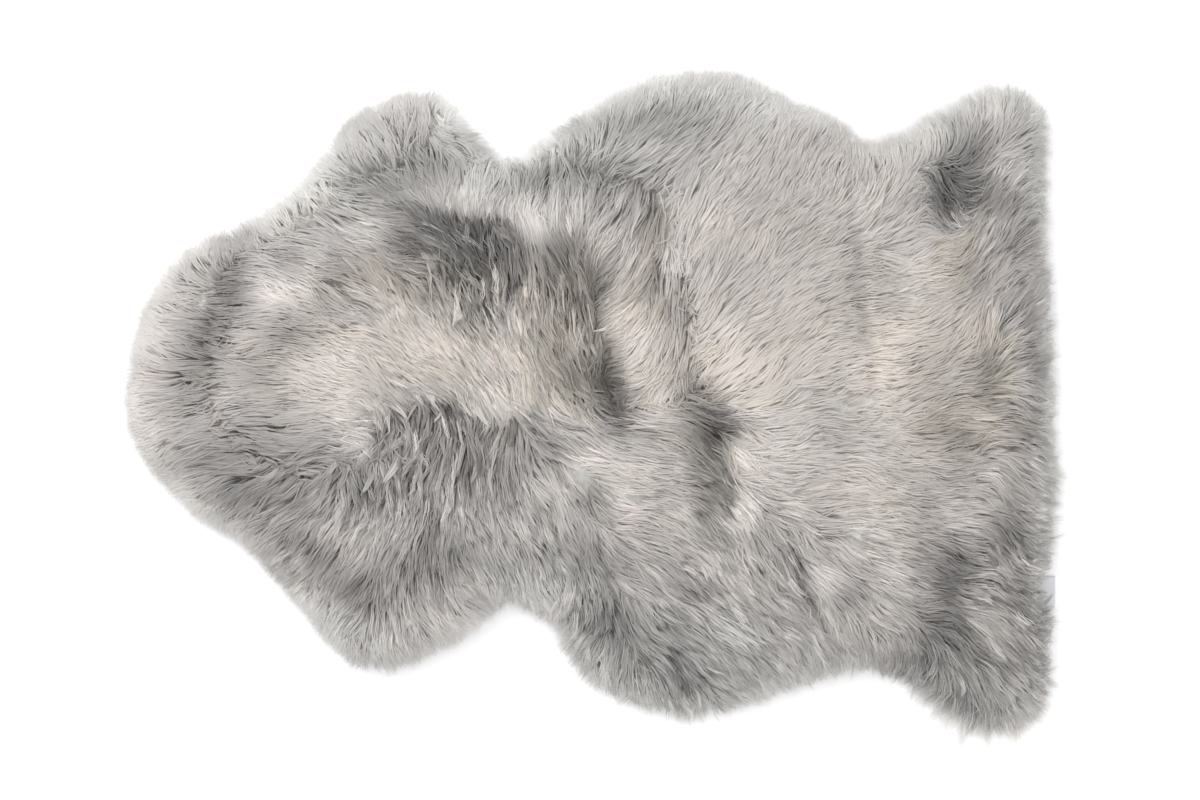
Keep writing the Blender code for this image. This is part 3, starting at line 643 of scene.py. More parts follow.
# the wool itself: strands gathered into locks, and the locks into tufts
wool = {
    "seed": 41,
    "strandGap": 0.00181,
    "thinning": 0.34,         # the share of strands left out away from the rim, where they lie thickest
    "thinFrom": 0.045,
    "thinOver": 0.025,
    "shoulderKept": 0.6,      # less is left out along the shoulder parting and in these patches
    "denser": ((-83, 15, 8, 33, 1), (-79, 42, 6, 8, .8)),
    "lockGap": 0.0056,
    "lockMargin": -0.004,     # locks and tufts may be centred this far outside the hide
    "tuftGap": 0.024,
    "tuftMargin": -0.02,
    "travel": 0.054,          # how far over the ground a strand lies from root to tip
    "longer": 14,             # how much longer where the wool is fuller, for each metre more
    "tucked": 0.022,          # how far roots near a ledge reach back under it
    "tuckedReach": 0.030,
    "ledgeReach": 0.016,      # locks are gathered tighter this near a ledge
    "softTucked": 0.010,      # how far roots along the soft parting reach back
    "softReach": 0.020,
    "wander": 0.0035,         # how far from its own place a lock may take its direction
    "softWander": 0.005,      # and how much further along the soft parting
    "softWanderReach": 0.028,
    "strandWander": 0.002,
    "steps": 10,
    "rings": (0, .42, .64, .84, 1),        # the shares of a strand's length at which it has points
    "steepRings": (0, .15, .42, .72, 1),   # the same for strands tucked in by a ledge or a parting
    "widths": (.0009, .0011, .0010, .0008, 0),
    "rootHeight": 0.0030,
    "leastHeight": 0.0008,
    "rise": 2.2,              # how soon a strand reaches the top of the wool
    "steeper": 7.0,           # and how much sooner where it is tucked in
    "tipDepth": 0.004,        # how far below the top a lock may end
    "gather": 0.62,
    "tuftGather": 0.22,
    "waveLength": 0.028,
    "waveHeight": 0.0011,
    "rimFade": 0.036,         # the tips end this unevenly inside the wool's reach
    "rimPast": 0.019,
    "rimPaler": 0.072,        # the wool at the rim is this much paler
    "rimPalerReach": 0.022,
    # painted light: these paler roots lift the shade in the soft parting
    "softPaler": 0.05,        # the roots along the soft parting are this much paler, and in these patches
    "paleRoots": ((-82, 10, 6, 40, 1.4), (-78, 44, 6, 6, 1)),
    "spreadTucked": 0.00045,  # how far roots reach back where the comb spreads, for each turn a metre
    "spreadFrom": 6,
    "rimTips": 0.20,          # tips that reach past the rim are this much paler
    "rimWidth": 0.045,        # strands rooted within about this of the rim are finer, freer and cooler
    "rimRootsPaler": 4.5,     # roots are this many times paler where the comb runs inwards by the rim
    "rimRootsReach": 0.05,
    "rimTucked": 0.028,       # how far back the roots of wool combed inwards at the rim reach
    "rimTuckReach": 0.016,
    "fringe": 0.012,          # within this of the hide's edge, this share of the locks point straight out
    "fringeShare": 0.6,
    "fringeInwards": 0.65,    # and this much less of them where the comb runs inwards
    "rippleTurn": 15,         # how far neighbouring strands bend together, in degrees
    # the sizes of the smooth patches in which these differ, and their seeds
    "patches": {
        "swirl": (0.060, 5), "smallSwirl": (0.022, 6), "depth": (0.016, 7), "tone": (0.035, 8),
        "ripple": (0.017, 9),
    },
    # how far tufts, locks and strands turn out of the comb's way, in degrees
    "turns": {
        "tuft": 7, "lock": 6, "strand": 2.5, "stray": 18, "swirl": 10, "smallSwirl": 9,
        "messyTuft": 45, "messyLock": 30,
    },
    # what differs from one tuft, lock or strand to the next: the least and the most times the usual,
    # or for the phases of the waves added to it
    "ranges": {
        "tuftTravel": (0.85, 1.15), "lockTravel": (0.75, 1.2), "strandTravel": (0.78, 1.08),
        "tucked": (0.7, 1.1), "gather": (0.8, 1.1), "width": (0.8, 1.2), "fringe": (0.2, 1.8),
        "waveHeight": (0.4, 1.6), "waveLength": (0.8, 1.3), "lockPhase": (-1.2, 1.2),
        "strandPhase": (-0.2, 0.2),
    },
    # what grows where the locks are clearer: how much there is in smooth wool, and how much more in locks
    "clearer": {
        "gather": (0.20, 0.95), "depth": (0.15, 1.4), "wave": (0.45, 0.75), "width": (1.15, -0.2),
        "roll": (4, 9), "lockTone": (0.010, 0.079), "strandTone": (0.013, 0.037),
    },
    "strayGather": 0.15,      # strays gather this little and lie this much deeper
    "strayDeeper": 0.003,
    "ledgeGather": 0.35,      # how much more strands gather by a ledge, and how much less at the rim
    "rimGather": 0.65,
    "rimTuftGather": 0.7,
    "gatherPower": 1.4,       # how late along its way a strand gathers to its lock, and to its tuft
    "tuftPower": 2.0,
    "roomPower": 0.8,
    "lockRoom": 0.5,          # the share of the rim's unevenness that a lock's strands have in common
    "rimMargin": 0.004,       # no root is tucked in closer to the rim
    "depthPatches": 0.002,
    "depthPower": 1.2,
    "deepest": 0.02,
    "strandDepth": 0.0003,
    "messyWave": 1.5,
    "waveLift": 0.7,
    "overhangLower": 0.45,    # how much lower the wool lies once it is past the hide
    "tipsLower": 0.0015,
    "sidesLower": 0.30,       # how much lower a lock's sides lie, for each metre from its middle
    "rootsUneven": 0.002,
    "rollReach": 0.003,       # strands this far to the side of their lock are fully rolled
    "strandRoll": 4,
    "rimFiner": 0.42,
    "tipsFiner": 0.45,        # how much finer strands are that end at the rim
    "tipsShare": 0.3,
    "tipsFrom": 0.002,
    "tipsReach": 0.012,
    # the tone read there is dye together with painted shade and painted highlights
    "dyeAndShadingShare": 0.25,         # how far each point's dye is taken towards the middle of its strand
    "farthest": 0.380,        # no tip reaches further out to the near and far sides
    "shortest": 0.008,
    "stray": 0.06,
    "clumpTone": 0.78,        # wool darker than this lies in clearer locks, fully so over this span of tone
    "clumpSpan": 0.4,
    "clumpMost": 1.4,
    # painted shade: locks that end deeper are this much darker for each metre of depth
    "deepDarker": 2.5,
    "tonePatches": 0.05,
    "rimCooler": 1.1,
    "warmths": 0.35,
    "throughShare": 0.50,     # the share of light that passes through a strand
    "toneLimits": (0.02, 0.98),
    "pieces": ("woolNeck", "woolShoulder", "woolBack", "woolLoin", "woolRump"),
    # where the wool reaches further out, and by how many metres, or less far
    "fuller": (
        (76, -92, 12, 10, .028), (84, -100, 10, 8, .024), (66, -80, 6, 6, .008), (20, -97, 25, 6, .006),
        (42, -90, 22, 6, .014), (100, -20, 11, 35, .009), (100, 60, 11, 30, .006), (-70, -53, 10, 6, .003),
        (93, -54, 7, 5.5, -.024), (-18, 76, 12, 6, .008),
    ),
    # where the wool lies in thicker locks, or in smoother ones
    "clumps": (
        (-80, 5, 17, 45, -1.1), (-30, 76, 30, 15, -.8), (30, 70, 30, 25, -.25), (42, 15, 20, 20, -.4),
        (62, 15, 15, 30, -.3), (-45, -50, 20, 15, -.3), (30, -42, 13, 16, .6), (-42, -6, 13, 10, .8),
        (-30, 5, 14, 12, .5), (91, -35, 5, 10, .4), (79, 72, 6, 5, -1.2), (0, 15, 5, 15, .3),
        (-72, -30, 12, 15, -.5),
    ),
    # where tufts and locks point every way
    "messy": (
        (-28, 47, 12, 9, .7), (-46, -10, 7, 10, 1), (-38, -10, 5, 5, .9), (-3, 12, 6, 7, .8),
        (26, -7, 4, 5, .9), (77, 62, 6, 8, .6), (-24, -6, 10, 3, .5), (2, 80, 6, 6, .5),
        (-58, 40, 5, 6, .4), (70, -78, 6, 5, .4),
    ),
}


def scatter(gap, margin, seed):
    # places in uneven rows over the hide, a gap apart
    draw = np.random.default_rng(seed)
    rows = np.arange(-halfWidth, halfWidth, gap * math.sqrt(0.75))
    columns = np.arange(-halfLength, halfLength, gap)
    x, y = np.meshgrid(columns, rows, indexing="ij")
    x = x + (np.arange(len(rows)) % 2) * gap / 2
    places = np.stack((x.ravel(), y.ravel()), axis=1)
    places += draw.uniform(-0.42, 0.42, places.shape) * gap
    return places[hideDistance.at(places) > margin]


def nearestOf(places, centres):
    # for each place, the number of the nearest centre
    tree = KDTree(len(centres))
    for index, centre in enumerate(centres):
        tree.insert((*centre, 0), index)
    tree.balance()
    return np.array([tree.find((x, y, 0))[1] for x, y in places])


patches = {name: unevenness(size, seed) for name, (size, seed) in wool["patches"].items()}
outward = Field(outwards)


def combLines(roots, turns, travel, tucked, wander, fringe):
    # the way each strand is combed over the ground, in even steps, from where it is tucked in
    steps = wool["steps"]
    lines = [roots]
    headings = []
    for step in range(steps):
        heading = np.where(fringe[:, None], outward.at(lines[-1]), combed.at(lines[-1] + wander))
        bent = np.radians(turns + wool["rippleTurn"] * patches["ripple"].at(lines[-1]))
        turned = unit(heading * np.cos(bent)[:, None] + leftOf(heading) * np.sin(bent)[:, None])
        headings.append(turned)
        lines.append(lines[-1] + turned * (travel / steps)[:, None])
    onward = np.stack(lines, axis=1)
    places = []
    for step in range(steps + 1):
        covered = travel * step / steps - tucked
        ahead = alongLines(onward, np.clip(covered / travel, 0, 1))
        places.append(ahead + headings[0] * np.minimum(covered, 0)[:, None])
    return np.stack(places, axis=1)


def stopShares(lines, travel, tucked, rimRoom, overshoot):
    # the share of each line that is used: up to a ledge, or to its own room inside the rim
    steps = wool["steps"]
    starts, ways = lines[:, :-1], lines[:, 1:] - lines[:, :-1]
    order = np.arange(steps)
    stop = np.full(len(lines), np.inf)
    for lineStart, lineEnd in stretchesOf(ledges["lines"].values()):
        met = (crossings(starts, ways, lineStart, lineEnd) + order) / steps
        met = np.where(met > (tucked / travel)[:, None], met, np.inf).min(axis=1)
        stop = np.minimum(stop, met + overshoot / travel)
    room = rimDistance.at(lines) - rimRoom[:, None]
    over = room < 0
    first = np.where(over.any(axis=1), over.argmax(axis=1), steps + 1)
    before = np.take_along_axis(room, np.clip(first - 1, 0, steps)[:, None], axis=1)[:, 0]
    after = np.take_along_axis(room, np.clip(first, 0, steps)[:, None], axis=1)[:, 0]
    part = np.clip(before / np.maximum(before - after, 1e-9), 0, 1)
    atRim = np.where(first > steps, np.inf, (first - 1 + part) / steps)
    return np.clip(np.minimum(stop, atRim), wool["shortest"] / travel, 1)


def alongLines(lines, shares):
    # the point of each line at its share
    steps = shares * wool["steps"]
    whole = np.minimum(steps.astype(int), wool["steps"] - 1)
    part = (steps - whole)[:, None]
    rows = np.arange(len(lines))
    return lines[rows, whole] * (1 - part) + lines[rows, whole + 1] * part


def patchField(rows):
    # the strongest of these soft patches at each place
    most = np.zeros(len(spots))
    for *shape, amount in rows:
        soft = amount * softPatch(*shape, 1)
        most = np.where(np.abs(soft) > np.abs(most), soft, most)
    return Field(most)


def underLedges(places):
    # the painted shade at these places: how much darker the wool is made for lying right under a ledge
    shade = np.zeros(len(places))
    for name, line in ledges["lines"].items():
        nearest = np.full(len(places), 9.0)
        side = np.zeros(len(places))
        for start, end in stretchesOf([line]):
            way = end - start
            offX, offY = offsetsFrom(start, end, places)
            gap = np.hypot(offX, offY)
            side = np.where(gap < nearest, way[0] * offY - way[1] * offX, side)
            nearest = np.minimum(nearest, gap)
        under = ledges["shades"][name] * nearness(nearest, ledges["shadeReach"])
        shade = np.maximum(shade, np.where(side < 0, under, 0))
    return shade


partings = comb["partings"]
nearShoulder = Field(nearness(distanceTo(stretchesOf([partings["shoulder"]])), wool["softReach"]))
paleGround = Field(nearShoulder.at(spots) + patchField(wool["paleRoots"]).at(spots))


def tuckField(breaks, softBreaks, inwards):
    # how far roots reach back at ledges and partings, at the rim, and where the comb spreads
    deep = wool["tucked"] * nearness(breaks, wool["tuckedReach"])
    soft = wool["softTucked"] * nearness(softBreaks, wool["softReach"])
    rim = wool["rimTucked"] * inwards * nearness(fromOverhang, wool["rimTuckReach"])
    alongX, alongY = combed.values[..., 0], combed.values[..., 1]
    spreading = np.gradient(alongX, ground["cell"], axis=0) + np.gradient(alongY, ground["cell"], axis=1)
    spread = wool["spreadTucked"] * (spreading.ravel() - wool["spreadFrom"])
    spread = np.clip(spread, 0, wool["softTucked"])
    most = np.clip(fromWoolEdge - wool["rimMargin"], 0, None)
    return Field(np.minimum(np.max((deep, soft, rim, spread), axis=0), most))


def growWool():
    # every strand's points, side vectors, tone and warmth
    draw = np.random.default_rng(wool["seed"])
    turns, ranges = wool["turns"], wool["ranges"]
    mess = patchField(wool["messy"])
    fuller = patchField(wool["fuller"])

    softBreaks = distanceTo(stretchesOf([partings["shoulder"], partings["loin"]]))
    tufts = scatter(wool["tuftGap"], wool["tuftMargin"], 1)
    locks = scatter(wool["lockGap"], wool["lockMargin"], 2)
    roots = scatter(wool["strandGap"], 0.0, 3)
    inner = np.clip((rimDistance.at(roots) - wool["thinFrom"]) / wool["thinOver"], 0, 1)
    kept = wool["shoulderKept"] * nearShoulder.at(roots) + patchField(wool["denser"]).at(roots)
    inner = inner * np.clip(1 - kept, 0, 1)
    roots = roots[draw.uniform(0, 1, len(roots)) > wool["thinning"] * inner]
    lockOf = nearestOf(roots, locks)
    tuftOf = nearestOf(locks, tufts)

    def draws(count, low, high):
        return draw.uniform(low, high, count)

    clump = (wool["clumpTone"] - dyeAndShadingTone.at(locks)) / wool["clumpSpan"]
    clump = np.clip(clump + patchField(wool["clumps"]).at(locks), 0, wool["clumpMost"])

    def clearer(name):
        smooth, more = wool["clearer"][name]
        return smooth + more * clump

    inwards = np.clip(-(combed.at(spots) * outwards).sum(axis=1), 0, 1)
    fringeShare = wool["fringeShare"] * (1 - wool["fringeInwards"] * Field(inwards).at(locks))
    fringed = draws(len(locks), 0, 1) < fringeShare
    fringed &= hideDistance.at(locks) < wool["fringe"] * draws(len(locks), *ranges["fringe"])
    noTuft = np.zeros(len(tufts), dtype=bool)
    tuftTurn = draw.normal(0, turns["tuft"], len(tufts))
    tuftTurn += turns["messyTuft"] * mess.at(tufts) * draws(len(tufts), -1, 1)
    lockTurn = draw.normal(0, turns["lock"], len(locks)) + tuftTurn[tuftOf]
    lockTurn += sum(turns[size] * patches[size].at(locks) for size in ("swirl", "smallSwirl"))
    lockTurn += turns["messyLock"] * mess.at(locks) * draws(len(locks), -1, 1)
    tuftTravel = wool["travel"] * draws(len(tufts), *ranges["tuftTravel"])
    lockTravel = tuftTravel[tuftOf] * draws(len(locks), *ranges["lockTravel"])
    lockTravel = lockTravel * (1 + wool["longer"] * fuller.at(locks).clip(0))
    lockPast = ledges["overshoot"] + ledges["spread"] * draws(len(locks), -1, 1)
    past = lockPast[lockOf] + ledges["strandSpread"] * draws(len(roots), -1, 1)
    lockRoom = draws(len(locks), 0, 1) ** wool["roomPower"]
    rimRoom = (1 - wool["lockRoom"]) * draws(len(roots), 0, 1) ** wool["roomPower"]
    rimRoom = wool["lockRoom"] * lockRoom[lockOf] + rimRoom
    rimRoom = wool["rimFade"] * rimRoom - wool["rimPast"] - fuller.at(roots)
    breaks = distanceTo(stretchesOf([partings["back"], *ledges["lines"].values()]))
    stray = draws(len(roots), 0, 1) < wool["stray"]
    turn = lockTurn[lockOf] + draw.normal(0, turns["strand"], len(roots))
    turn += np.where(stray, draw.normal(0, turns["stray"], len(roots)), 0)
    travel = lockTravel[lockOf] * draws(len(roots), *ranges["strandTravel"])

    rimRoots = wool["rimRootsPaler"] * inwards * (fromWoolEdge < wool["rimRootsReach"])
    rootPaler = Field(np.maximum(paleGround.at(spots), rimRoots))
    tuck = tuckField(breaks, softBreaks, inwards)
    nearLedge = Field(nearness(breaks, wool["ledgeReach"]))
    wanders = wool["wander"] + wool["softWander"] * nearness(softBreaks, wool["softWanderReach"])
    wanders = Field(wanders).at(locks)
    lockWander = draw.normal(0, 1, (len(locks), 2)) * wanders[:, None]
    wander = lockWander[lockOf] + draw.normal(0, wool["strandWander"], (len(roots), 2))
    tuftTuck = tuck.at(tufts)
    lockTucked = draws(len(locks), *ranges["tucked"]) * ~fringed
    lockTuck = tuck.at(locks) * lockTucked
    strandTuck = tuck.at(roots) * lockTucked[lockOf]
    tuftLines = combLines(tufts, tuftTurn, tuftTravel, tuftTuck, np.zeros((len(tufts), 2)), noTuft)
    lockLines = combLines(locks, lockTurn, lockTravel, lockTuck, lockWander, fringed)
    strandLines = combLines(roots, turn, travel, strandTuck, wander, fringed[lockOf])
    tuftPast = np.full(len(tufts), ledges["tuftOvershoot"])
    tuftStop = stopShares(tuftLines, tuftTravel, tuftTuck, -fuller.at(tufts), tuftPast)
    lockRim = wool["rimFade"] * lockRoom - wool["rimPast"] - fuller.at(locks)
    lockStop = stopShares(lockLines, lockTravel, lockTuck, lockRim, lockPast)
    strandStop = stopShares(strandLines, travel, strandTuck, rimRoom, past)

    gather = wool["gather"] * draws(len(roots), *ranges["gather"])
    gather = np.where(stray, wool["strayGather"], gather)[:, None]
    atRim = nearness(rimDistance.at(roots), wool["rimWidth"])
    gather = gather * (1 - wool["rimGather"] * atRim[:, None])
    gather = gather * (clearer("gather")[lockOf] + wool["ledgeGather"] * nearLedge.at(roots))[:, None]
    tuftGather = wool["tuftGather"] * (1 - wool["rimTuftGather"] * atRim[:, None])
    tuftGather = tuftGather * ~fringed[lockOf][:, None]
    lockDepth = wool["tipDepth"] * draws(len(locks), 0, 1) ** wool["depthPower"]
    lockDepth = (lockDepth + wool["depthPatches"] * patches["depth"].at(locks)) * clearer("depth")
    depth = lockDepth[lockOf] + draw.normal(0, wool["strandDepth"], len(roots))
    depth = depth - np.where(stray, wool["strayDeeper"], 0)
    wavePhase = draws(len(tufts), 0, 2 * math.pi)[tuftOf] + draws(len(locks), *ranges["lockPhase"])
    wavePhase = wavePhase[lockOf] + draws(len(roots), *ranges["strandPhase"])
    waveHeight = draws(len(locks), *ranges["waveHeight"])
    waveHeight = waveHeight * (1 + wool["messyWave"] * mess.at(locks)) * clearer("wave")
    waveHeight = wool["waveHeight"] * waveHeight[lockOf]
    waveTurns = 2 * math.pi / (wool["waveLength"] * draws(len(locks), *ranges["waveLength"]))[lockOf]
    length = travel * strandStop

    centreLine = []
    offsets = []
    steepness = np.clip(strandTuck / wool["softTucked"], 0, 1)[:, None]
    rings = np.array(wool["rings"]) * (1 - steepness) + np.array(wool["steepRings"]) * steepness
    for share in rings.T:
        own = alongLines(strandLines, share * strandStop)
        guide = alongLines(lockLines[lockOf], share * lockStop[lockOf])
        tuftGuide = alongLines(tuftLines[tuftOf[lockOf]], share * tuftStop[tuftOf[lockOf]])
        centre = own + gather * share[:, None] ** wool["gatherPower"] * (guide - own)
        drawn = tuftGather * share[:, None] ** wool["tuftPower"] * (tuftGuide - guide)
        centreLine.append(centre + drawn)
        offsets.append(centre - guide)
    flat = np.stack(centreLine, axis=1)
    across = leftOf(unit(np.gradient(flat, axis=1)))

    phase = wavePhase[:, None] + rings * (length * waveTurns)[:, None]
    swing = (waveHeight[:, None] * np.sin(phase) * rings ** 0.7)[..., None]
    flat = flat + across * swing
    flat[..., 1] = np.clip(flat[..., 1], -wool["farthest"], wool["farthest"])
    lean = 1 - (1 - rings) ** (wool["rise"] + wool["steeper"] * steepness)
    top = topHeight.at(flat) - depth[:, None]
    outside = np.clip(-hideDistance.at(flat) / comb["overhang"], 0, 1)
    top = top * (1 - wool["overhangLower"] * outside)
    height = wool["rootHeight"] + (top - wool["rootHeight"]) * lean
    height = height + wool["waveLift"] * waveHeight[:, None] * np.cos(phase) * rings
    height = height - wool["tipsLower"] * rings ** 4
    side = (np.stack(offsets, axis=1) * across).sum(axis=2)
    height = height - wool["sidesLower"] * np.abs(side)
    uneven = wool["rootsUneven"] * (1 - rings) * draws(len(roots), 0, 1)[:, None]
    height = np.maximum(height, wool["leastHeight"] + uneven)
    points = raised(flat, height)

    roll = np.clip(side / wool["rollReach"], -1, 1) * np.radians(clearer("roll")[lockOf])[:, None]
    roll = roll + np.radians(draw.normal(0, wool["strandRoll"], len(roots)))[:, None]
    forward = unit(np.gradient(points, axis=1))
    sideways = raised(across, np.zeros(across.shape[:2]))
    upwards = np.cross(forward, sideways)
    sideways = sideways * np.cos(roll)[..., None] - upwards * np.sin(roll)[..., None]
    wider = draws(len(roots), *ranges["width"]) * clearer("width")[lockOf]
    widths = np.array(wool["widths"]) * wider[:, None]
    past = np.clip(wool["tipsShare"] - rimDistance.at(flat[:, -1]) / wool["tipsReach"], 0, 1)
    widths = widths * (1 - wool["rimFiner"] * atRim[:, None]) * (1 - wool["tipsFiner"] * past[:, None])
    sideways = sideways * widths[..., None] / 2

    seen = flat[:, 2]
    tone = (draw.normal(0, 1, len(locks)) * clearer("lockTone"))[lockOf]
    tone = tone + draw.normal(0, 1, len(roots)) * clearer("strandTone")[lockOf]
    # painted shade: deeper locks, and the wool right under a ledge, are made darker
    tone = tone - wool["deepDarker"] * np.clip(lockDepth, 0, wool["deepest"])[lockOf] - underLedges(seen)
    # each point's tone is read from the dye with its painted shade and highlights
    dyedAndShaded = flat + wool["dyeAndShadingShare"] * (seen[:, None] - flat)
    paler = wool["rimPaler"] * nearness(rimDistance.at(dyedAndShaded), wool["rimPalerReach"])
    pastRim = np.clip((wool["tipsFrom"] - rimDistance.at(flat)) / wool["tipsReach"], 0, 1)
    paler = paler + wool["rimTips"] * pastRim
    # painted light on the roots along the soft parting
    paler = paler + wool["softPaler"] * rootPaler.at(roots)[:, None] * (1 - rings)
    tone = tone[:, None] + dyeAndShadingTone.at(dyedAndShaded) + wool["tonePatches"] * patches["tone"].at(dyedAndShaded) + paler
    warm = dyeWarmth.at(seen) - wool["rimCooler"] * atRim + draw.normal(0, wool["warmths"], len(roots))
    return points, sideways, np.clip(tone, *wool["toneLimits"]), warm


# locks that stand out: root and tip in hundredths, how far they bow to their left, half width, tone;
# the narrow ones of tone .36 or less are dark strands laid as painted shadow along creases and the flank
# groove
laid = {
    "seed": 77,
    "strands": 30,
    "emerge": 0.45,     # its strands come up through the wool along this share of it
    "roll": 16,
    "tones": 0.06,
    "sunk": 0.008,
    "lift": 0.0004,
    "locks": (
        (-26.5, 4, -21.3, -7.8, -.08, .006, .68), (-17, 0, -18.5, -6, .1, .006, .66),
        (-30, 3, -25.2, -4.6, .05, .005, .62), (-34.5, 5, -33.2, -1.8, 0, .0045, .68),
        (-45, 2, -38.5, -5.8, .15, .0045, .68), (-49, 0, -44, -10, .12, .005, .72),
        (-35.5, 2, -39.2, -6, -.1, .002, .5), (-31, -0.5, -33.5, -6, .1, .002, .56),
        (-34, -5, -47, -16.5, .08, .006, .5), (-38, -8, -45.5, -17, -.05, .0045, .46),
        (-39, -11, -44.5, -24.5, .12, .0075, .62), (-45.5, -17, -49, -28, .15, .0045, .54),
        (-51, -11, -46.5, -16.5, .1, .0045, .66), (-56, -10, -47, -14, .05, .005, .68),
        (-37, -19, -36, -29, .1, .0045, .52), (-41, -19, -40, -29, -.1, .0045, .5),
        (-30, -21, -29.5, -32, -.1, .005, .55), (-24, -15, -25.5, -24, .08, .0045, .5),
        (5.8, 24.5, 0, 21.2, .15, .0024, .76), (5, 34, 2.2, 28.5, .05, .003, .64),
        (-31, 66, -30, 55.5, 0, .006, .84), (-26, 66, -26.6, 54.8, -.05, .006, .8),
        (-20, 63, -22.6, 54.5, 0, .005, .72), (-17, 62, -17.2, 52, .05, .005, .74),
        (-6, 58, -4.5, 49, .05, .005, .7), (19, 40, 18.6, 33, 0, .0014, .16),
        (22.5, 30, 19, 22, .1, .0016, .16), (13, 64, 12.6, 52, 0, .0014, .3),
        (16.5, 46, 15.6, 30, 0, .0045, .6), (27, 14, 22.5, 7, .05, .005, .74),
        (30, 11, 25, 4.5, .05, .005, .74), (33, 8, 27.5, 2.5, .05, .005, .74),
        (36, 6, 31, 1, .05, .005, .72), (26, 0, 33, -3, .1, .004, .68), (27, -3, 34, -5.5, .1, .004, .66),
        (40.5, -38, 42.5, -46, 0, .0014, .28), (42, -45, 43.4, -53, .05, .0016, .22),
        (42.7, -50, 45.2, -57.5, .05, .0018, .2), (44.7, -56.5, 48, -63, .05, .0018, .2),
        (47.2, -61, 49.4, -70, .05, .0014, .26), (36.5, -43, 39.2, -50.5, .05, .0014, .28),
        (12.2, 50, 14.1, 30, 0, .0012, .36), (27.2, -19, 30.2, -25, .03, .0016, .22),
        (26.2, -25, 30.2, -31.5, 0, .0014, .24), (28.2, -31, 30.4, -35.5, 0, .0016, .22),
        (-47.5, -23.5, -48.2, -31.5, -.1, .0022, .22), (-26.8, -20, -25.8, -28, .05, .002, .24),
    ),
}


def layLocks():
    # the strands of the listed locks, in the same form as the grown ones
    draw = np.random.default_rng(laid["seed"])
    rings = np.array(wool["rings"])
    rows = np.array(laid["locks"])
    starts = rows[:, 0:2] / 100 * halfSize
    ends = rows[:, 2:4] / 100 * halfSize
    way = ends - starts
    lengths = np.linalg.norm(way, axis=1)
    middles = (starts + ends) / 2 + leftOf(way) * rows[:, 4:5]
    count = laid["strands"]
    which = np.repeat(np.arange(len(rows)), count)
    across = draw.uniform(-1, 1, len(which))
    begin = draw.uniform(0, laid["emerge"], len(which))[:, None]
    reach = draw.uniform(0.80, 1.0, len(which))[:, None]
    shares = begin + rings[None, :] * (reach - begin)
    bent = ((1 - shares) ** 2)[..., None] * starts[which][:, None] \
        + (2 * shares * (1 - shares))[..., None] * middles[which][:, None] \
        + (shares ** 2)[..., None] * ends[which][:, None]
    sides = leftOf(unit(np.gradient(bent, axis=1)))
    spread = rows[which, 5][:, None] * across[:, None] * (1 - 0.88 * shares ** 1.3)
    flat = bent + sides * spread[..., None]
    rising = np.clip(rings / 0.6, 0, 1) ** 0.7
    height = topHeight.at(flat) - laid["sunk"] * (1 - rising) + laid["lift"] * rising - 0.003 * rings ** 5
    height = height - 0.35 * np.abs(spread) + draw.normal(0, 0.0006, len(which))[:, None]
    points = raised(flat, height)
    roll = across[:, None] * math.radians(laid["roll"])
    sideways = raised(sides, np.zeros(sides.shape[:2])) * np.cos(roll)[..., None]
    sideways[..., 2] -= np.sin(roll)
    widths = np.array(wool["widths"]) * draw.uniform(0.7, 1.1, len(which))[:, None]
    tones = rows[which, 6:7] + draw.normal(0, laid["tones"], (len(which), 1)) + np.zeros(len(rings))
    warms = dyeWarmth.at(bent[:, 2]) + draw.normal(0, wool["warmths"], len(which))
    shortest, longest = round(float(lengths.min()), 3), round(float(lengths.max()), 3)
    print("laid locks:", len(rows), "from", shortest, "to", longest)
    return points, sideways * widths[..., None] / 2, np.clip(tones, *wool["toneLimits"]), warms


def woolFinish():
    # a strand's colour comes from its place on the colour map: tone across, root to tip in three bands up,
    # with painted shade darkening it towards the root
    constants = {"Roughness": 0.62, "Specular IOR Level": 0.25, "Sheen Weight": 0.12, "Sheen Roughness": 0.5}
    finish = Finish("combedWool", constants)
    place = finish.add("ShaderNodeUVMap", {"uv_map": "OFBake"}, {})
    parts = finish.add("ShaderNodeSeparateXYZ", {}, {"Vector": place})
    tone = parts.out("X")
    bands = parts.out("Y") * 3.0
    band = finish.add("ShaderNodeMath", {"operation": "FLOOR"}, {0: bands})
    along = bands - band
    shade = finish.ramp(tone, (
        (0.00, (.104, .101, .096)), (0.25, (.248, .240, .229)), (0.50, (.486, .470, .449)),
        (0.75, (.780, .755, .723)), (1.00, (.965, .943, .915)),
    ))
    tint = finish.ramp(band * 0.5, (
        (0.0, (.965, .983, 1.0)), (0.5, (1.0, .986, .998)), (1.0, (1.025, .986, .946)),
    ))
    # painted shade: darker towards the root, where the strands lie shaded under the wool above
    depth = finish.ramp(along, (
        (0.05, (.80, .80, .795)), (0.35, (.915, .915, .91)),
        (0.62, (.975, .975, .975)), (0.95, (1.0, 1.0, 1.0)),
    ))
    colour = finish.times(finish.times(shade, tint), depth)
    finish.wear({"Base Color": colour})
    through = finish.add("ShaderNodeBsdfTranslucent", {}, {"Color": colour})
    straight = Wire(finish, finish.shader.outputs["BSDF"])
    mixed = finish.add("ShaderNodeMixShader", {}, {0: wool["throughShare"], 1: straight, 2: through})
    finish.feed(finish.nodes["Material Output"].inputs["Surface"], mixed)
    return finish.material


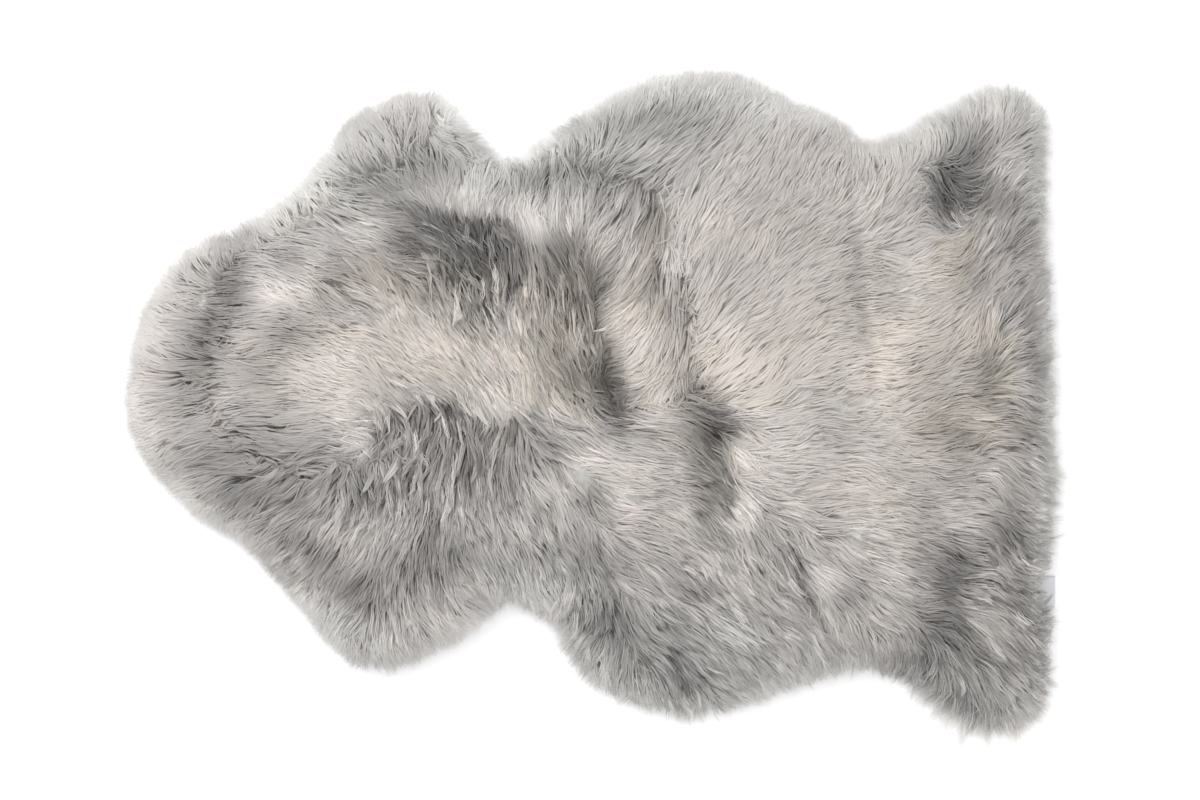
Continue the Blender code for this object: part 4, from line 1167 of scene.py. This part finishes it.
def woolMesh(name, points, sideways, tones, warms, material):
    # one ribbon for each strand: three four-sided faces and a pointed one
    count, ringCount = len(points), points.shape[1]
    left, right = points - sideways, points + sideways
    paired = np.stack((left[:, :-1], right[:, :-1]), axis=2).reshape(count, -1, 3)
    vertices = np.concatenate((paired, points[:, -1:]), axis=1)
    perStrand = vertices.shape[1]
    corners = []
    starts = []
    for quad in range(ringCount - 2):
        starts.append(len(corners))
        corners += [2 * quad, 2 * quad + 1, 2 * quad + 3, 2 * quad + 2]
    starts.append(len(corners))
    corners += [perStrand - 3, perStrand - 2, perStrand - 1]
    corners, starts = np.array(corners), np.array(starts)
    first = np.arange(count)[:, None]
    mesh = bpy.data.meshes.new(name)
    mesh.vertices.add(count * perStrand)
    mesh.vertices.foreach_set("co", vertices.astype(np.float32).ravel())
    mesh.loops.add(count * len(corners))
    mesh.loops.foreach_set("vertex_index", (first * perStrand + corners).astype(np.int32).ravel())
    mesh.polygons.add(count * len(starts))
    mesh.polygons.foreach_set("loop_start", (first * len(corners) + starts).astype(np.int32).ravel())
    mesh.update(calc_edges=True)
    mesh.shade_smooth()
    band = np.clip(np.round(warms + 1), 0, 2)
    ringOf = corners // 2
    rings = np.array(wool["rings"])[ringOf]
    lean = np.where(ringOf == ringCount - 1, 0.0, np.where(corners % 2, 0.002, -0.002))
    mapU = tones[:, ringOf] + lean
    mapV = (band[:, None] + 0.04 + 0.92 * rings) / 3
    uvs = mesh.uv_layers.new(name="OFBake")
    uvs.data.foreach_set("uv", np.stack((mapU, mapV), axis=2).astype(np.float32).ravel())
    mesh.materials.append(material)
    return show(name, mesh)


def makeWool():
    grown, handLaid = growWool(), layLocks()
    points, sideways, tones, warms = [np.concatenate(both) for both in zip(grown, handLaid)]
    material = woolFinish()
    order = np.argsort(points[:, 0, 0], kind="stable")
    pieces = []
    for name, chosen in zip(wool["pieces"], np.array_split(order, len(wool["pieces"]))):
        piece = woolMesh(name, points[chosen], sideways[chosen], tones[chosen], warms[chosen], material)
        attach(piece, "root")
        pieces.append(piece)
        print(name, len(chosen), "strands,", len(chosen) * (2 * len(wool["rings"]) - 3), "triangles")
    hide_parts("fleece")
    return pieces


# the matted wool near the skin, seen only between the locks
underWool = {
    "drawnIn": 0.022,
    "drawnReach": 0.09,
    "share": 0.86,           # how much of the wool's height it fills
    "darkShare": 0.28,       # and how much less where the wool is this much darker than this tone
    "darkFrom": 0.66,
    "darkSpan": 0.35,
    "floor": 0.0031,
    "leastLift": 0.0002,
    "bump": 0.0015,
    "bumpScale": 90,
}


def makeUnderWool():
    mesh = frame["nodes"]["fleece"].data.copy()
    mesh.name = "underWool"
    shape = bmesh.new()
    shape.from_mesh(mesh)
    bmesh.ops.remove_doubles(shape, verts=shape.verts, dist=1e-6)
    bmesh.ops.subdivide_edges(shape, edges=shape.edges, cuts=1, use_grid_fill=True)
    tones = []
    for vert in shape.verts:
        place = np.array(vert.co.xy)
        inside = float(rimDistance.at(place))
        way = outward.at(place)
        nearRim = max(0.0, 1 - max(inside, 0) / underWool["drawnReach"]) ** 2
        vert.co.xy = place - way * underWool["drawnIn"] * nearRim
        # its tone is the wool's dye with its painted shade and highlights, and painted light along the soft
        # parting
        tones.append(float(dyeAndShadingTone.at(place) + wool["softPaler"] * paleGround.at(place)))
        dark = min(1.0, max(0.0, (underWool["darkFrom"] - tones[-1]) / underWool["darkSpan"]))
        share = underWool["share"] - underWool["darkShare"] * dark
        lift = vert.co.z - underWool["floor"]
        if lift > 0.001:
            rough = noise.noise(vert.co * underWool["bumpScale"]) * underWool["bump"]
            vert.co.z = underWool["floor"] + max(underWool["leastLift"], lift * share + rough)
    shape.to_mesh(mesh)
    shape.free()
    mesh.shade_smooth()
    mesh.attributes.new("dye", "FLOAT", "POINT").data.foreach_set("value", tones)
    finish = Finish("mattedWool", {"Roughness": 0.9})
    place = finish.place()
    fibres = finish.noise(place, 160.0, 4.0)
    clumps = finish.noise(place, 30.0, 3.0)
    # the tone attribute: dye with painted shade and painted light
    dyedAndShaded = finish.add("ShaderNodeAttribute", {"attribute_name": "dye"}, {}).out("Fac")
    shade = finish.ramp(dyedAndShaded, ((0.15, (.14, .137, .13)), (0.80, (.56, .545, .52))))
    mottled = finish.ramp(fibres * 0.6 + clumps * 0.4, ((0.3, (.72, .72, .71)), (0.7, (1.0, 1.0, 1.0))))
    colour = finish.times(shade, mottled)
    bump = finish.bump(fibres, 0.002, 0.8)
    mesh.materials.clear()
    mesh.materials.append(finish.wear({"Base Color": colour, "Normal": bump}))
    piece = show("underWool", mesh)
    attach(piece, "root")
    print("underWool", len(mesh.polygons), "faces")
    return piece


# the tanned hide: trimmed by hand, suede side down
hide = {
    "seed": 5,
    "thickness": 0.0025,
    "cell": 0.010,
    "drawnIn": 0.001,
    "trim": 0.0008,
    "trimScale": 60,
    "flat": (0.950, 0.662),
    "area": 0.474,
}


def orderedOutline(stretches):
    # the stretches of an outline as one run of points
    follows = {}
    for start, end in stretches.round(6):
        follows.setdefault(tuple(start), []).append(tuple(end))
        follows.setdefault(tuple(end), []).append(tuple(start))
    run = [next(iter(follows))]
    while True:
        onward = [point for point in follows[run[-1]] if point not in run[-2:]]
        if not onward or onward[0] == run[0]:
            return run
        run.append(onward[0])


def makeHide():
    noise.seed_set(hide["seed"])
    shape = bmesh.new()
    verts = []
    for x, y in orderedOutline(hideEdge):
        trimmed = noise.noise_vector(Vector((x, y, 0)) * hide["trimScale"]) * hide["trim"]
        trimmedX = x - math.copysign(hide["drawnIn"], x) + trimmed.x
        trimmedY = y - math.copysign(hide["drawnIn"], y) + trimmed.y
        verts.append(shape.verts.new((trimmedX, trimmedY, 0)))
    shape.faces.new(verts)
    shape.normal_update()
    for axis, half in (((1, 0, 0), halfLength), ((0, 1, 0), halfWidth)):
        for step in range(int(2 * half / hide["cell"]) + 1):
            place = Vector(axis) * (step * hide["cell"] - half)
            geometry = shape.verts[:] + shape.edges[:] + shape.faces[:]
            bmesh.ops.bisect_plane(shape, geom=geometry, dist=1e-6, plane_co=place, plane_no=axis)
    if next(iter(shape.faces)).normal.z > 0:
        bmesh.ops.reverse_faces(shape, faces=shape.faces)
    mesh = meshFrom(shape, "hide")
    finish = Finish("tannedHide", {"Roughness": 0.85, "Sheen Weight": 0.25, "Sheen Roughness": 0.6})
    place = finish.place()
    nap = finish.noise(place, 420.0, 3.0)
    cloud = finish.noise(place, 7.0, 4.0)
    settings = {"feature": "DISTANCE_TO_EDGE"}
    veins = finish.add("ShaderNodeTexVoronoi", settings, {"Vector": place, "Scale": 22.0})
    tone = cloud * 0.6 + nap * 0.25 + veins * 0.3
    colour = finish.ramp(tone, ((0.3, (.30, .28, .255)), (0.55, (.46, .43, .40)), (0.8, (.58, .55, .51))))
    bump = finish.bump(nap + veins * 0.4, 0.0004, 0.6)
    mesh.materials.append(finish.wear({"Base Color": colour, "Normal": bump}))
    piece = show("tannedHideSheet", mesh)
    thicken(piece, hide["thickness"], -1)
    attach(piece, "root")
    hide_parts("hide")
    print("hide", len(mesh.polygons), "faces before its thickness")
    return piece


# the label: a blank satin ribbon folded once, its fold just outside the edge of the hide
label = {"thickness": 0.0004, "clear": 0.00005, "columns": 24, "steps": 16, "foldSteps": 10}


def makeLabel():
    low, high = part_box("label")
    thickness = label["thickness"]
    bottom = low.z + thickness / 2 + label["clear"]
    top = high.z - thickness / 2 - label["clear"]
    radius = (top - bottom) / 2
    turn = high.x - radius - thickness / 2
    reaches = [low.x + (turn - low.x) * step / label["steps"] for step in range(label["steps"])]
    profile = [(reach, bottom) for reach in reaches]
    for step in range(label["foldSteps"] + 1):
        angle = math.pi * (step / label["foldSteps"] - 0.5)
        profile.append((turn + radius * math.cos(angle), bottom + radius * (1 + math.sin(angle))))
    profile += [(reach, top) for reach in reversed(reaches)]
    shape = bmesh.new()
    rows = []
    for column in range(label["columns"] + 1):
        y = low.y + (high.y - low.y) * column / label["columns"]
        rows.append([shape.verts.new((x, y, z)) for x, z in profile])
    for row, following in zip(rows, rows[1:]):
        for one, two, three, four in zip(row, row[1:], following[1:], following):
            shape.faces.new((one, two, three, four))
    mesh = meshFrom(shape, "label")
    mesh.shade_smooth()
    finish = Finish("satinRibbon", {"Roughness": 0.35, "Sheen Weight": 0.2})
    place = finish.place()
    weave = finish.add("ShaderNodeTexWave", {"bands_direction": "Y"}, {"Vector": place, "Scale": 900.0})
    colour = finish.ramp(weave, ((0.0, (.45, .455, .475)), (1.0, (.55, .555, .57))))
    bump = finish.bump(weave, 0.00005, 0.5)
    mesh.materials.append(finish.wear({"Base Color": colour, "Normal": bump}))
    piece = show("blankLabel", mesh)
    thicken(piece, thickness, 0)
    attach(piece, "root")
    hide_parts("label")
    print("label", len(mesh.polygons), "faces")
    return piece


# the studio: a pale floor, a pale surround and wide soft lamps, with the camera straight above
studio = {
    "floor": (.73, .73, .735),
    "floorReach": 6,
    "floorHeight": -0.0005,
    "lamps": {
        "farLeftLamp": ((-1.6, 1.8, 1.9), 52, 1.6),
        "nearRightLamp": ((1.7, -1.6, 2.2), 18, 2.0),
    },
    "surround": (1.0, 1.0, 1.0),
    "surroundStrength": 1.42,
    "cameraHeight": 2.2,
    "lens": 61.4,
    "centre": (0.008, 0.0027),
}


def makeStudio():
    floorShape = bmesh.new()
    bmesh.ops.create_grid(floorShape, x_segments=1, y_segments=1, size=studio["floorReach"])
    floor = show("studioFloor", meshFrom(floorShape, "studioFloor"))
    floor.location.z = studio["floorHeight"]
    finish = Finish("studioPaper", {"Roughness": 0.9, "Base Color": (*studio["floor"], 1)})
    floor.data.materials.append(finish.material)
    for name, (place, power, size) in studio["lamps"].items():
        data = bpy.data.lights.new(name, "AREA")
        data.energy = power
        data.shape = "DISK"
        data.size = size
        lamp = show(name, data)
        lamp.location = place
        lamp.rotation_euler = (-Vector(place)).to_track_quat("-Z", "Y").to_euler()
    world = bpy.data.worlds.new("paleSurround")
    world.use_nodes = True
    background = world.node_tree.nodes["Background"]
    background.inputs["Color"].default_value = (*studio["surround"], 1)
    background.inputs["Strength"].default_value = studio["surroundStrength"]
    bpy.context.scene.world = world
    lens = bpy.data.cameras.new("overheadCamera")
    lens.lens = studio["lens"]
    camera = show("overheadCamera", lens)
    camera.location = (*studio["centre"], studio["cameraHeight"])
    bpy.context.scene.camera = camera
    bpy.context.scene.view_settings.view_transform = "Standard"


makeHide()
makeUnderWool()
makeLabel()
makeWool()
makeStudio()
